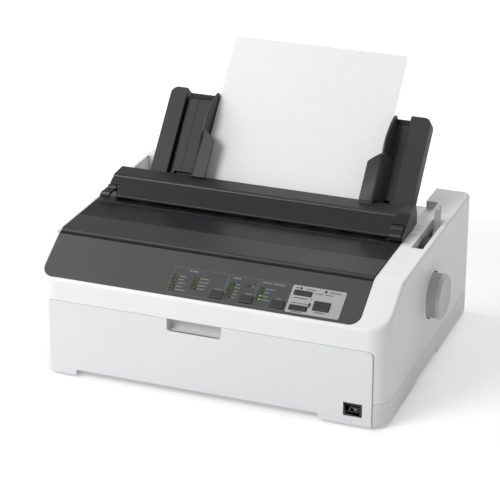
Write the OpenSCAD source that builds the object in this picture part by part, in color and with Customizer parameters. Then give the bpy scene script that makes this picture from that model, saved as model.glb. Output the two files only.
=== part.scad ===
// Dot matrix printer, built as separate pieces in one frame.
// Frame: millimetres, +Z up, +X to the right as seen from the front, +Y to the back.
// Origin: on the floor, at the middle of the case's width and depth. The front face is at -Y.

/* [Case] */
// width of the case over its side walls
body_w = 412; // [400:1:500]
// depth of the case, front face to rear face
body_d = 330; // [320:1:400]
// height of the case's flat top (the shoulders) above the floor
shoulder_h = 155; // [148:1:190]
// height of the front face's top edge
front_h = 120; // [110:1:134]
// height of the seam between the lower and upper case
part_z = 31; // [28:1:36]
// wall thickness of the case mouldings
wall = 2.5; // [2:0.1:3]
// radius of the two front corners seen from above
corner_r = 24; // [16:1:28]
// radius of the two rear corners seen from above
rear_r = 10; // [6:1:16]
// width of the white rim left of the dark deck
left_rim = 6.1; // [5.6:0.1:9]
// width of the white shoulder right of the dark deck
right_rim = 33.3; // [30:0.1:40]
// front face to the knee where the slope meets the flat top
knee_run = 58; // [50:1:62]
// narrow joint line between neighbouring panels
seam = 0.5; // [0.4:0.1:0.8]
// underside of the case above the floor at its legs
leg_z = 3; // [2.5:0.5:5]

/* [Front cover] */
// height of the front cover's top edge
door_top = 93.6; // [84:0.1:100]
// width of the front cover
door_w = 381; // [370:1:386]
// width of the finger recess
recess_w = 64; // [50:1:80]
// height of the finger recess
recess_h = 14.5; // [10:0.5:18]
// how far the finger recess goes in
recess_d = 11; // [8:0.5:14]

/* [Control panel] */
// thickness of the dark panel moulding
panel_t = 2.6; // [2:0.1:3]
// radius of the panel's two lower corners
panel_r = 14; // [8:1:18]
// gap between the panel and the printer cover
groove = 4.4; // [3:0.1:6]
// side gap round each button
key_gap = 0.4; // [0.35:0.05:0.6]

/* [Printer cover] */
// front edge of the bar behind the cover, from the front face
bar_run = 154; // [151:1:156]
// radius of the cover's hinge pins
hinge_r = 2.2; // [1.8:0.1:2.6]
// radial clearance of pins and shafts that turn in a bore
fit = 0.05; // [0.03:0.01:0.09]

/* [Platen] */
// platen axis from the front face
platen_run = 167; // [165:1:169]
// platen axis below the shoulder
platen_drop = 63; // [61:1:64]
// radius of the rubber roller
platen_r = 13; // [11:0.5:13.5]
// radius of the platen's steel shaft
shaft_r = 4; // [3:0.5:5]
// radius of the hand knob
knob_r = 26; // [20:0.5:27]
// how far the knob stands out of the case side
knob_out = 16.5; // [12:0.5:22]

/* [Sheet guide] */
// guide foot from the front face
guide_run = 217; // [217:1:222]
// guide foot above the shoulder
guide_rise = 15; // [15:1:18]
// lean of the guide and of the sheet, up from level
lean = 49; // [47:1:52]
// height of the guide along its slope
guide_h = 113; // [90:1:135]
// depth of the two posts
post_d = 24; // [16:1:26]
// left edge of the sheet from the left post's inner face
sheet_in_l = 39; // [39:1:45]
// right edge of the sheet from the right post's inner face
sheet_in_r = 19.8; // [19.8:0.2:25]
// length of the sheet
sheet_l = 279; // [230:1:297]
// thickness of the sheet as modelled
sheet_t = 0.4; // [0.3:0.1:0.5]

/* [Print mechanism] */
// thickness of the steel side frames
frame_t = 1.6; // [1.2:0.1:2]
// carriage shaft in front of the platen axis
carriage_gap = 47; // [45:1:50]
// carriage shaft below the platen axis
carriage_drop = 22; // [20:1:23]
// radius of the carriage shaft
rod_r = 5; // [4:0.5:6]
// radius of the belt pulleys
pulley_r = 8; // [7:0.5:9]
// thickness of the timing belt
belt_t = 1.2; // [1:0.1:1.5]
// width of the timing belt
belt_w = 6; // [5:0.5:7]
// tooth module of the gear train
mod = 1; // [0.9:0.05:1.1]

/* [Hidden] */
$fn = 72;
eps = 0.01;
hw = body_w / 2;
hd = body_d / 2;
yf = -hd;
yr = hd;
deck_l = -hw + left_rim;
deck_r = hw - right_rim;
deck_y = yf + 3.2;
deck_z = front_h + 0.7;
knee_y = yf + knee_run;
knee_z = shoulder_h - 1;
slope_dy = knee_y - deck_y;
slope_dz = knee_z - deck_z;
slope_len = sqrt(slope_dy * slope_dy + slope_dz * slope_dz);
slope_a = atan2(slope_dz, slope_dy);
panel_len = slope_len - groove;
floor_z = leg_z + 5;
in_z = floor_z + wall;
side_lift = leg_z + 4.5;
front_lift = 10.4;
leg_l = -hw + 47;
leg_r = hw - 76;
door_x = door_w / 2;
door_t = 3;
front_x = max(door_x + seam + wall, hw - corner_r + 11.5);
bar_y = yf + bar_run;
cover_back = bar_y - 2.5;
hinge_y = cover_back - 4;
hinge_z = shoulder_h - 6.5;
cover_top = shoulder_h + 0.6;
cover_t = 2.2;
window_y = yf + 103;
platen_y = yf + platen_run;
platen_z = shoulder_h - platen_drop;
gy = yf + guide_run;
gz = shoulder_h + guide_rise;
post_l = deck_l + 40.2;
post_r = deck_r - 8.1;
post_wl = 21;
post_wr = 24.5;
inner_l = post_l + post_wl + 4;
inner_r = post_r - post_wr;
sheet_x0 = inner_l + sheet_in_l;
sheet_x1 = inner_r - sheet_in_r;
frame_l = deck_l + 28.9;
frame_r = deck_r - 13.7;
roll_x0 = frame_l + 20;
roll_x1 = frame_r - 11;
car_y = platen_y - carriage_gap;
car_z = platen_z - carriage_drop;
belt_y = car_y - 19;
belt_z = car_z - 4;
pul_l = frame_l + 24;
pul_r = frame_r - 19;
base_z = in_z + 2;
bar_top = shoulder_h + 29;
cheek_x = deck_r - 9;
notch_x = deck_r + 5.3;
notch_y0 = yf + 222;
notch_y1 = yf + 285;
rear_y0 = yf + 265;
block_y0 = yf + 306;
block_x = deck_l + 30;
rear_deck = shoulder_h - 27;
slot_x0 = hw - 20;
slot_x1 = hw - 6.8;
slot_y0 = yf + 149;
slot_y1 = yf + 236;
lever_x = slot_x0 + 9.2;
lever_y = yf + 193;
lever_z = shoulder_h - 57;
teeth_p = 44;
teeth_i = 30;
teeth_m = 12;
teeth_t = 24;
ang_i = -40;
ang_m = -25;
ang_t = 50;
d_pi = mod * (teeth_p + teeth_i) / 2;
d_im = mod * (teeth_i + teeth_m) / 2;
d_it = mod * (teeth_i + teeth_t) / 2;
idl_y = platen_y + d_pi * cos(ang_i);
idl_z = platen_z + d_pi * sin(ang_i);
mot_y = idl_y + d_im * cos(ang_m);
mot_z = idl_z + d_im * sin(ang_m);
tra_y = idl_y + d_it * cos(ang_t);
tra_z = idl_z + d_it * sin(ang_t);
gear_x = frame_r + frame_t + 3;
gear_w = 6;
rod2_y = tra_y + 34;
rod2_z = tra_z - 1;
ten_y = yf + 193;
ten_z = shoulder_h + 3;
ten_r = 8;
gap_y = car_y + 10;
gap_z = platen_z - 3;
cart_y0 = yf + 60;
cart_y1 = yf + 91;
cart_z0 = shoulder_h - 71.6;
cart_z1 = cart_z0 + 20;
sw_x0 = door_x - 32;
sw_x1 = door_x - 10.5;
sw_z0 = 13.7;
sw_z1 = 30;

// ---- helpers ----

// box from corner to corner
module box(x0, y0, z0, x1, y1, z1) {
  translate([x0, y0, z0]) cube([x1 - x0, y1 - y0, z1 - z0]);
}

// a (y, z) outline drawn out along X
module xprof(x0, x1, pts) {
  translate([x0, 0, 0]) rotate([90, 0, 90]) linear_extrude(x1 - x0) polygon(pts);
}

// a (x, z) outline drawn out along Y
module yprof(y0, y1, pts) {
  translate([0, y1, 0]) rotate([90, 0, 0]) linear_extrude(y1 - y0) polygon(pts);
}

// round bar along X, from x0 to x1
module xrod(x0, x1, y, z, r) {
  translate([x0, y, z]) rotate([0, 90, 0]) cylinder(h = x1 - x0, r = r);
}

// round bar along Y, from y0 to y1
module yrod(y0, y1, x, z, r) {
  translate([x, y0, z]) rotate([-90, 0, 0]) cylinder(h = y1 - y0, r = r);
}

// round bar along Z
module zrod(z0, z1, x, y, r) {
  translate([x, y, z0]) cylinder(h = z1 - z0, r = r);
}

// plan of the case, drawn in by "in" on every side
module plan_block(in, z0, z1) {
  rf = corner_r - in;
  rr = rear_r - in;
  a = hw - in;
  b = hd - in;
  box(-a + rf, -b, z0, a - rf, 0, z1);
  box(-a, -b + rf, z0, a, b - rr, z1);
  box(-a + rr, 0, z0, a - rr, b, z1);
  for (s = [-1, 1]) {
    zrod(z0, z1, s * (a - rf), -b + rf, rf);
    zrod(z0, z1, s * (a - rr), b - rr, rr);
  }
}

// children drawn in the slope's frame: X across, Y up the slope, Z out of it
module on_slope() {
  translate([0, deck_y, deck_z]) rotate([slope_a, 0, 0]) children();
}

// children drawn in the sheet guide's frame: X across, Y up the guide, Z out of its face
module on_guide() {
  translate([0, gy, gz]) rotate([lean, 0, 0]) children();
}

// box with its four upright edges rounded
module soft_box(x0, y0, z0, x1, y1, z1, r) {
  box(x0 + r, y0, z0, x1 - r, y1, z1);
  box(x0, y0 + r, z0, x1, y1 - r, z1);
  for (x = [x0 + r, x1 - r]) {
    for (y = [y0 + r, y1 - r]) zrod(z0, z1, x, y, r);
  }
}

// spur gear about X with n teeth, one tooth pointing at angle a in the Y-Z plane
module gear(x0, x1, n, a) {
  rp = mod * n / 2;
  ro = rp + 0.8 * mod;
  ri = rp - 1.15 * mod;
  q = 360 / n;
  pts = [for (i = [0 : n - 1]) for (k = [0 : 3])
    let (r = (k == 0 || k == 3) ? ri : ro,
         t = a + i * q + (k == 0 ? -0.30 : k == 1 ? -0.13 : k == 2 ? 0.13 : 0.30) * q)
    [r * cos(t), r * sin(t)]];
  translate([x0, 0, 0]) rotate([90, 0, 90]) linear_extrude(x1 - x0) polygon(pts);
}

// ---- case ----

module lower_case() color([0.9, 0.9, 0.91]) {
  difference() {
    plan_block(0, leg_z, part_z - 0.15);
    plan_block(wall, in_z, part_z + 1);
    // under the floor the moulding is hollow between its legs
    box(leg_l + 8, yf - 1, leg_z - 1, leg_r - 8, yr + 1, floor_z);
    box(-hw - 1, yf + 115, leg_z - 1, hw + 1, yf + 203, side_lift);
    box(-hw + 8, yf + 40, leg_z - 1, hw - 8, yr - 36, floor_z);
    // the front cover's place
    box(-door_x - seam, yf - 1, leg_z - 1, door_x + seam, yf + door_t + 0.4, part_z + 1);
    box(leg_l, yf - 1, leg_z - 1, leg_r, yf + 14, floor_z);
    // rear connector bay
    box(-hw + 62, yr - wall - 1, 16, -hw + 162, yr + 1, part_z + 1);
  }
  // front wall behind the cover
  difference() {
    box(-front_x, yf + door_t + 0.4, floor_z, front_x, yf + door_t + 0.4 + wall, part_z - 0.15);
    box(sw_x0 + seam - 0.3, yf, sw_z0 + seam - 0.3, sw_x1 - seam + 0.3, yf + 10, sw_z1 - seam + 0.3);
  }
  // posts under the chassis plate
  for (x = [frame_l + 20, frame_r - 20]) {
    for (y = [car_y - 34, platen_y + 52]) {
      difference() {
        zrod(floor_z, base_z, x, y, 6);
        zrod(floor_z - 1, base_z + 1, x, y, 1.6);
      }
    }
  }
}

// four feet at the corners and one under the middle of the base
module rubber_feet() color([0.12, 0.12, 0.12]) {
  for (x = [-hw + 25, hw - 25]) {
    for (y = [yf + 30, yr - 24]) {
      zrod(0, leg_z, x, y, 8);
    }
  }
  zrod(0, floor_z, 0, 0, 8);
}

module upper_case() color([0.93, 0.93, 0.94]) {
  skirt = shoulder_h - 36;
  difference() {
    intersection() {
      plan_block(0, part_z + 0.15, shoulder_h + 1);
      xprof(-hw - 1, hw + 1, [[yf - 1, part_z], [yf, front_h - 3], [yf + 1, front_h - 0.8], [deck_y, deck_z],
        [knee_y - 2, knee_z - 1.1], [knee_y + 2, knee_z], [yr - 2, shoulder_h], [yr + 1, shoulder_h - 2], [yr + 1, part_z]]);
    }
    intersection() {
      plan_block(wall, part_z - 1, shoulder_h + 1);
      xprof(-hw, hw, [[yf, part_z - 1], [yf, front_h - 4], [deck_y + 1, deck_z - wall - 1],
        [knee_y + 1, knee_z - wall - 0.8], [yr, shoulder_h - wall - 0.8], [yr, part_z - 1]]);
    }
    // sloped opening for the control panel
    on_slope() {
      box(deck_l, panel_r, -14, deck_r, slope_len + 2, 14);
      box(deck_l + panel_r, 0, -14, deck_r - panel_r, panel_r + 1, 14);
      zrod(-14, 14, deck_l + panel_r, panel_r, panel_r);
      zrod(-14, 14, deck_r - panel_r, panel_r, panel_r);
    }
    // the open deck over the mechanism and the sheet guide
    box(deck_l, knee_y - 1, skirt - 20, deck_r, rear_y0, shoulder_h + 5);
    box(deck_l, rear_y0 - 1, skirt, cheek_x, block_y0, shoulder_h + 5);
    box(block_x, block_y0 - 1, skirt, cheek_x, yr - wall - 0.5, shoulder_h + 5);
    box(block_x, block_y0, rear_deck, cheek_x, yr + 1, shoulder_h + 5);
    // notch in the right shoulder behind the tension unit
    box(deck_r - 1, notch_y0, shoulder_h - 9, notch_x, notch_y1, shoulder_h + 5);
    // lever slot in the right shoulder
    box(slot_x0, slot_y0, shoulder_h - 12, slot_x1, slot_y1, shoulder_h + 5);
    // hole for the knob
    xrod(hw - wall - 1, hw + 1, platen_y, platen_z, knob_r + 1.5);
    // the front cover's place
    box(-door_x - seam, yf - 1, part_z - 1, door_x + seam, yf + door_t + 0.4, door_top + seam);
    box(-door_x + 8, yf - 1, part_z + 4, door_x - 8, yf + 20, door_top - 5);
    // rear mouth for continuous paper
    box(inner_l - 6, yr - wall - 1, shoulder_h - 58, inner_r + 6, yr + 1, shoulder_h - 30);
    // rear connector bay and mains inlet
    box(-hw + 62, yr - wall - 1, part_z - 1, -hw + 162, yr + 1, part_z + 12);
    box(hw - 112, yr - wall - 1, part_z + 5, hw - 84, yr + 1, part_z + 26);
  }
  // raised ring round the knob
  difference() {
    xrod(hw - eps, hw + 1.6, platen_y, platen_z, knob_r + 3.4);
    xrod(hw - 1, hw + 2, platen_y, platen_z, knob_r + 1.5);
  }
  // inner skirts of the deck
  difference() {
    union() {
      box(-hw + wall - eps, knee_y + 4, skirt, deck_l, yr - rear_r - 1, shoulder_h - wall);
      box(deck_r, knee_y + 4, skirt, deck_r + wall, notch_y0, shoulder_h - wall);
      box(deck_r, notch_y0 - eps, skirt, deck_r + wall, rear_y0, shoulder_h - 9 - wall + eps);
    }
    for (x = [deck_l - 4, deck_r - 1]) xrod(x, x + 5, hinge_y, hinge_z, hinge_r + fit);
  }
  // tray of the notch, open to the deck
  difference() {
    box(cheek_x, notch_y0 - 1.8, shoulder_h - 9 - wall, notch_x + 1.8, notch_y1 + 1.8, shoulder_h - wall);
    box(cheek_x - 1, notch_y0, shoulder_h - 9, notch_x, notch_y1, shoulder_h + 1);
    box(cheek_x - 1, notch_y0 - 3, shoulder_h - 9, deck_r, notch_y0 + 1, shoulder_h + 1);
  }
  // cheek behind the lever
  box(cheek_x, rear_y0, rear_deck - wall, cheek_x + wall, notch_y1 + eps, shoulder_h - 9 - wall + eps);
  box(cheek_x, notch_y1, rear_deck - wall, cheek_x + wall, yr - wall + eps, shoulder_h - wall);
  box(cheek_x, notch_y1, rear_deck - wall, notch_x + 1.8, notch_y1 + wall, shoulder_h - wall);
  // walls of the block in the left rear corner
  box(deck_l - eps, block_y0, rear_deck - wall, block_x, block_y0 + wall, shoulder_h - wall);
  box(block_x - wall, block_y0, rear_deck - wall, block_x, yr - wall + eps, shoulder_h - wall);
  // lowered rear deck
  box(deck_l - eps, rear_y0, rear_deck - wall, cheek_x + wall, yr - wall + eps, rear_deck);
  // walls of the lever slot
  difference() {
    box(slot_x0 - 1.6, slot_y0 - 1.6, shoulder_h - 14, slot_x1 + 1.6, slot_y1 + 1.6, shoulder_h - wall);
    box(slot_x0, slot_y0, shoulder_h - 15, slot_x1, slot_y1, shoulder_h + 1);
  }
  // front wall behind the front cover
  difference() {
    box(-front_x, yf + door_t + 0.4, part_z + 0.15, front_x, yf + door_t + 0.4 + wall, front_h - 5);
    box(-door_x + 8, yf, part_z + 4, door_x - 8, yf + 20, door_top - 5);
    box(deck_l, yf, deck_z - 8, deck_r, yf + 20, front_h);
    recess_hole(2);
  }
}

// the space the finger recess needs, grown by g
module recess_hole(g) {
  rx = -hw + 159.5;
  box(rx - g, yf - 1, door_top - recess_h - g, rx + recess_w + g, yf + door_t + recess_d, door_top + g);
}

module front_cover() color([0.9, 0.9, 0.91]) {
  rx = -hw + 159.5;
  r = 6;
  y1 = yf + door_t;
  z1 = door_top - recess_h;
  difference() {
    union() {
      // face, with its two upper corners rounded
      box(-door_x, yf, front_lift, door_x, y1, door_top - r);
      box(-door_x + r, yf, door_top - r - eps, door_x - r, y1, door_top);
      yrod(yf, y1, -door_x + r, door_top - r, r);
      yrod(yf, y1, door_x - r, door_top - r, r);
      // feet of the face
      box(-door_x, yf, leg_z + 0.4, leg_l, y1, front_lift + 1);
      box(leg_r, yf, leg_z + 0.4, door_x, y1, front_lift + 1);
    }
    box(rx, yf - 1, z1 + 3, rx + recess_w, y1 + 1, door_top + 1);
    box(rx + 3, yf - 1, z1, rx + recess_w - 3, y1 + 1, z1 + 4);
    yrod(yf - 1, y1 + 1, rx + 3, z1 + 3, 3);
    yrod(yf - 1, y1 + 1, rx + recess_w - 3, z1 + 3, 3);
    // round the power switch
    box(sw_x0, yf - 1, sw_z0, sw_x1, y1 + 1, sw_z1);
  }
  // pocket behind the finger recess
  difference() {
    box(rx - 2, y1 - eps, z1 - 2, rx + recess_w + 2, y1 + recess_d + 2, door_top - 0.6);
    box(rx, yf - 1, z1, rx + recess_w, y1 + recess_d, door_top + 1);
  }
  // stiffening ribs and two clips that reach through the front wall
  for (x = [-door_x + 14, door_x - 17]) box(x, y1 - eps, part_z + 6, x + 3, y1 + 7, door_top - 8);
  box(-door_x + 14, y1 - eps, door_top - 10, rx - 4, y1 + 5, door_top - 8);
  box(rx + recess_w + 4, y1 - eps, door_top - 10, door_x - 14, y1 + 5, door_top - 8);
}

// outline of the control panel, drawn in by g, from height z0 to z1
module panel_plate(g, z0, z1) {
  x0 = deck_l + g;
  x1 = deck_r - g;
  r = panel_r;
  box(x0, r + g, z0, x1, panel_len, z1);
  box(x0 + r, g, z0, x1 - r, r + g + 1, z1);
  zrod(z0, z1, x0 + r, r + g, r);
  zrod(z0, z1, x1 - r, r + g, r);
}

// key and lamp places: x from the right shoulder, up the slope
kx = deck_r - 172.7;
dark_keys = [[kx - 0.4, 6.3, 15, 9.5], [kx + 34.6, 6.3, 15, 9.5], [kx + 70.4, 6.3, 15, 9.5]];
light_keys = [[kx + 91.5, 27, 20, 6], [kx + 91.5, 7.4, 20, 6.2], [kx + 117.4, 11, 18, 11.6]];
lamps = [for (k = [0 : 4]) [kx - 45.5, 9.3 + 4.5 * k], for (k = [0 : 3]) [kx - 21, 14.4 + 4.5 * k],
  for (k = [0 : 4]) [kx + 20.6, 10.7 + 4.35 * k], [kx + 39.2, 28.3],
  for (k = [0 : 3]) [kx + 55, 13.7 + 4.8 * k], [kx + 98, 36.2], [kx + 126, 36.2]];

module key_hole(k, z0, z1) {
  box(k[0] - key_gap, k[1] - key_gap, z0, k[0] + k[2] + key_gap, k[1] + k[3] + key_gap, z1);
}

module control_panel() color([0.24, 0.24, 0.25]) {
  on_slope() difference() {
    panel_plate(seam, -panel_t, 0);
    // shallow seat for the light key plate
    box(kx + 88, 3.6, -0.8, kx + 149.2, 39.6, 1);
    for (k = dark_keys) key_hole(k, -10, 1);
    for (k = light_keys) key_hole(k, -10, 1);
    for (l = lamps) box(l[0] - 3, l[1] - 1.4, -10, l[0] + 3, l[1] + 1.4, 1);
  }
  // upper lip that drops behind the groove
  on_slope() box(deck_l + seam, panel_len - 2, -9, deck_r - seam, panel_len, -panel_t + eps);
}

module key_plate() color([0.62, 0.62, 0.63]) {
  on_slope() difference() {
    box(kx + 88.2, 3.8, -0.8, kx + 149, 39.4, 0.3);
    for (k = light_keys) key_hole(k, -10, 1);
    for (l = lamps) box(l[0] - 3, l[1] - 1.4, -10, l[0] + 3, l[1] + 1.4, 1);
  }
}

module status_lamps() color([0.3, 0.6, 0.15]) {
  on_slope() for (l = lamps) {
    box(l[0] - 2.8, l[1] - 1.2, -8, l[0] + 2.8, l[1] + 1.2, l[1] > 34 ? 0.2 : -0.1);
  }
}

module key_cap(k, top) {
  on_slope() {
    soft_box(k[0], k[1], -4, k[0] + k[2], k[1] + k[3], top, 0.8);
    box(k[0] - 1.2, k[1] - 1.2, -5.2, k[0] + k[2] + 1.2, k[1] + k[3] + 1.2, -4 + eps);
    box(k[0] + k[2] / 2 - 1.5, k[1] + k[3] / 2 - 1.5, -7, k[0] + k[2] / 2 + 1.5, k[1] + k[3] / 2 + 1.5, -5);
  }
}

module font_button() color([0.2, 0.2, 0.21]) key_cap(dark_keys[0], 1.2);
module pitch_button() color([0.2, 0.2, 0.21]) key_cap(dark_keys[1], 1.2);
module tear_off_button() color([0.2, 0.2, 0.21]) key_cap(dark_keys[2], 1.2);
module load_button() color([0.7, 0.7, 0.71]) key_cap(light_keys[0], 1.6);
module feed_button() color([0.7, 0.7, 0.71]) key_cap(light_keys[1], 1.6);
module pause_button() color([0.7, 0.7, 0.71]) key_cap(light_keys[2], 1.6);

module panel_board() color([0.1, 0.35, 0.2]) {
  on_slope() {
    difference() {
      box(kx - 60, 3, -12, kx + 152, 40, -10.4);
      for (x = [kx - 56, kx + 148]) zrod(-13, -10, x, 36, 1.6);
    }
    for (k = concat(dark_keys, light_keys)) {
      box(k[0] + k[2] / 2 - 3, k[1] + k[3] / 2 - 3, -10.4 - eps, k[0] + k[2] / 2 + 3, k[1] + k[3] / 2 + 3, -8.4);
    }
    for (l = lamps) box(l[0] - 1.5, l[1] - 1, -10.4 - eps, l[0] + 1.5, l[1] + 1, -8);
    box(kx - 40, 30, -18, kx - 10, 38, -12 + eps);
  }
}

module power_switch_housing() color([0.08, 0.08, 0.08]) {
  difference() {
    box(sw_x0 + seam, yf + 0.6, sw_z0 + seam, sw_x1 - seam, yf + 24, sw_z1 - seam);
    box(sw_x0 + 3.2, yf - 1, sw_z0 + 3.2, sw_x1 - 3.2, yf + 18, sw_z1 - 3.2);
  }
  for (x = [sw_x0 + 6, sw_x1 - 6]) {
    for (z = [18, 25]) box(x - 1, yf + 24 - eps, z - 0.4, x + 1, yf + 31, z + 0.4);
  }
}

module power_rocker() color([0.1, 0.1, 0.1]) {
  cx = (sw_x0 + sw_x1) / 2;
  cz = (sw_z0 + sw_z1) / 2;
  w = (sw_x1 - sw_x0) / 2 - 3.8;
  h = (sw_z1 - sw_z0) / 2 - 4.6;
  translate([cx, yf + 9, cz]) {
    xrod(-w, w, 0, 0, 2);
    xprof(-w, w, [[-9.4, -h], [-7.6, 0], [-8.4, h], [1, 1.8], [1, -1.8]]);
  }
}

module printer_cover() color([0.2, 0.2, 0.21]) {
  x0 = deck_l + 0.8;
  x1 = deck_r - 0.8;
  z1 = cover_top;
  z0 = cover_top - cover_t;
  fy = knee_y + 1;
  difference() {
    union() {
      box(x0, fy + 1.5, z0, x1, cover_back, z1);
      xprof(x0, x1, [[fy + 2.5, z1], [fy + 0.4, z1 - 0.9], [fy - 1.4, z1 - 2.6], [fy - 1.4, z1 - 9], [fy + 0.8, z1 - 9], [fy + 0.8, z0 - 0.6], [fy + 2.5, z0]]);
      for (x = [x0, x1 - 2]) box(x, fy + 0.5, z1 - 9, x + 2, cover_back - 1, z0 + eps);
      box(x0, cover_back - 2, z1 - 6, x1, cover_back, z0 + eps);
    }
    // seat and opening for the window
    box(x0 - 1, window_y, z1 - 1, x1 + 1, cover_back - 4, z1 + 1);
    box(x0 + 6, window_y + 5, z0 - 1, x1 - 6, cover_back - 9, z1 + 1);
  }
  // hinge pins
  xrod(x0 - 3.2, x0 + 2, hinge_y, hinge_z, hinge_r);
  xrod(x1 - 2, x1 + 3.2, hinge_y, hinge_z, hinge_r);
}

module cover_window() color([0.14, 0.14, 0.15]) {
  box(deck_l + 1, window_y + 0.2, cover_top - 1, deck_r - 1, cover_back - 4.2, cover_top);
}

// ---- tension unit ----

bar_l = deck_l + 10;
bar_r = deck_r - 15.4;
bar_wall = bar_l + 13.6;
tab_y = yf + bar_run + 11.5;
tab_z = shoulder_h + 11.5;

// the bar's section: y from the front face, z from the shoulder
function bar_pts(p) = [for (q = p) [yf + q[0], shoulder_h + q[1]]];
bar_skin = bar_pts([[bar_run, 5.2], [bar_run, 7.4], [179, 19.6], [182.5, 21.6], [186, 22.2], [206, 23.4], [209, 22],
  [211, 15], [208.6, 15], [206.8, 20.4], [205, 21], [186, 19.8], [183.4, 19.3], [180, 17.4],
  [bar_run + 2.4, 6.2], [bar_run + 2.4, 5.2]]);
bar_end = bar_pts([[161, 9.6], [179, 18.4], [182.5, 20.4], [186, 21], [205, 22.2], [208, 20.6], [210, 15],
  [204, -3], [180, -3], [168, 3]]);
bar_hook = bar_pts([[174, 14], [182, 18.6], [204, 20.6], [203, 10], [196, -10], [174, -10]]);
cap_pts = bar_pts([[bar_run, 1.6], [bar_run, 7.4], [179, 19.6], [182.5, 21.6], [184.5, 23.8], [204, 26], [208.5, 24],
  [211.5, 14], [211.5, 1.6]]);
cap_in = bar_pts([[bar_run + 2.2, 0], [bar_run + 2.2, 6.2], [180, 17.4], [183.5, 19.4], [186, 21.6], [203, 23.6],
  [206.3, 22], [209, 13.6], [209, 0]]);

module tension_cover() color([0.2, 0.2, 0.21]) {
  difference() {
    union() {
      difference() {
        xprof(bar_l, bar_r, bar_skin);
        // room for the left tab
        box(bar_l - 1, yf + bar_run - 2, shoulder_h, bar_wall - 0.2, tab_y + 5, shoulder_h + 30);
      }
      xprof(bar_wall, bar_wall + 2, bar_end);
      xprof(bar_r - 2, bar_r, bar_end);
      xprof(frame_l + 0.4, frame_l + 2.4, bar_hook);
      xprof(frame_r - 2.3, frame_r - 0.3, bar_hook);
      box(bar_r - 1, yf + 184, shoulder_h + 12, frame_r - 1, yf + 200, shoulder_h + 14);
    }
    xrod(bar_wall - 1, frame_r, ten_y, ten_z, 3 + fit);
  }
  // raised cap at the right end
  difference() {
    xprof(bar_r - eps, deck_r + 1.1, cap_pts);
    xprof(bar_r - 1, deck_r - 0.3, cap_in);
    box(bar_r + eps, yf + bar_run - 2, shoulder_h - 1, deck_r - 0.3, tab_y + 5, shoulder_h + 30);
  }
  // pins the release tabs turn on
  xrod(bar_l + 0.5, bar_wall + eps, tab_y, tab_z, 2);
  xrod(bar_r - eps, deck_r - 0.3 + eps, tab_y, tab_z, 2);
}

// the plate of a release tab, from its knuckle down over the bar's lip
tab_pts = [for (q = [[10, 3.9], [8, 1.6], [0.6, -2.4], [-0.8, -4.2], [-1.1, -8.9], [0.3, -9.1], [0.9, -5.2],
  [2, -4.2], [8.4, -0.8]]) [yf + bar_run + q[0], tab_z + q[1]]];

module left_release_tab() color([0.22, 0.22, 0.23]) difference() {
  union() {
    xrod(bar_l + 0.6, bar_wall - 2.4, tab_y, tab_z, 4);
    // the plate flares to the left towards its lip
    intersection() {
      xprof(bar_l - 8, bar_wall, tab_pts);
      translate([0, 0, shoulder_h]) linear_extrude(30) polygon([[bar_l + 0.6, tab_y], [bar_l + 0.6, tab_y - 2.5],
        [bar_l - 6, tab_y - 12.8], [bar_l + 6, tab_y - 12.8], [bar_wall - 2.4, tab_y - 2.5], [bar_wall - 2.4, tab_y]]);
    }
  }
  xrod(bar_l - 1, bar_wall, tab_y, tab_z, 2 + fit);
}

module right_release_tab() color([0.22, 0.22, 0.23]) difference() {
  union() {
    xrod(bar_r + 0.6, deck_r - 0.9, tab_y, tab_z, 4);
    xprof(bar_r + 0.6, deck_r - 0.9, tab_pts);
  }
  xrod(bar_r - 1, deck_r + 1, tab_y, tab_z, 2 + fit);
}

module tension_rollers() color([0.3, 0.3, 0.31]) {
  xrod(bar_wall + 0.4, frame_r - 0.6, ten_y, ten_z, 3);
  n = 8;
  for (i = [0 : n - 1]) {
    x = roll_x0 + 8 + i * (roll_x1 - roll_x0 - 28) / (n - 1);
    xrod(x, x + 12, ten_y, ten_z, ten_r);
  }
}

// ---- sheet guide ----

module guide_post(x0, x1, outer, r) {
  c = outer < 0 ? x0 + r : x1 - r;
  difference() {
    union() {
      box(x0, 0, -post_d, x1, guide_h - r, 0);
      box(outer < 0 ? x0 + r : x0, guide_h - r - eps, -post_d, outer < 0 ? x1 : x1 - r, guide_h, 0);
      zrod(-post_d, 0, c, guide_h - r, r);
    }
    box(x0 + 2.4, 2.4, -post_d - 1, x1 - 2.4, guide_h - r - 1, -2.6);
  }
}

module sheet_guide() color([0.2, 0.2, 0.21]) {
  stop_l = sheet_x0 + 55;
  stop_r = sheet_x1 - 55;
  on_guide() {
    guide_post(post_l, post_l + post_wl, -1, 8);
    guide_post(inner_r, post_r, 1, 6);
    // channel beside the left post, then the plate
    box(post_l + post_wl - eps, 0, -9, inner_l + eps, guide_h - 6, -7);
    difference() {
      box(inner_l, -10, -5, inner_r + eps, guide_h - 5, -2.6);
      box(inner_l + 4, 8, -6, stop_l, 12.4, -1);
      box(stop_r, 8, -6, inner_r - 3, 12.4, -1);
      box(stop_l + 12, guide_h - 32, -6, stop_r - 12, guide_h, -1);
      // joint line in the plate's face
      box(inner_l + 12, 2, -3.1, inner_l + 12.6, guide_h - 12, -1);
    }
    box(inner_l, 0, -9, inner_l + 2, guide_h - 5, -2.6 - eps);
    // rail along the top, stopping at the cut-out
    box(inner_l, guide_h - 11, -9, stop_l + 12, guide_h - 5, -2.6);
    box(stop_r - 12, guide_h - 11, -9, inner_r + eps, guide_h - 5, -2.6);
    // tongues that stand on the side frames
    box(frame_l + 0.4, -26, -20, frame_l + 4.4, 6, -12);
    box(frame_l + 0.4, 1, -20, post_l + 3, 6, -12);
    box(frame_r - 4.4, -26, -20, frame_r - 0.4, 6, -12);
  }
}

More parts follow.
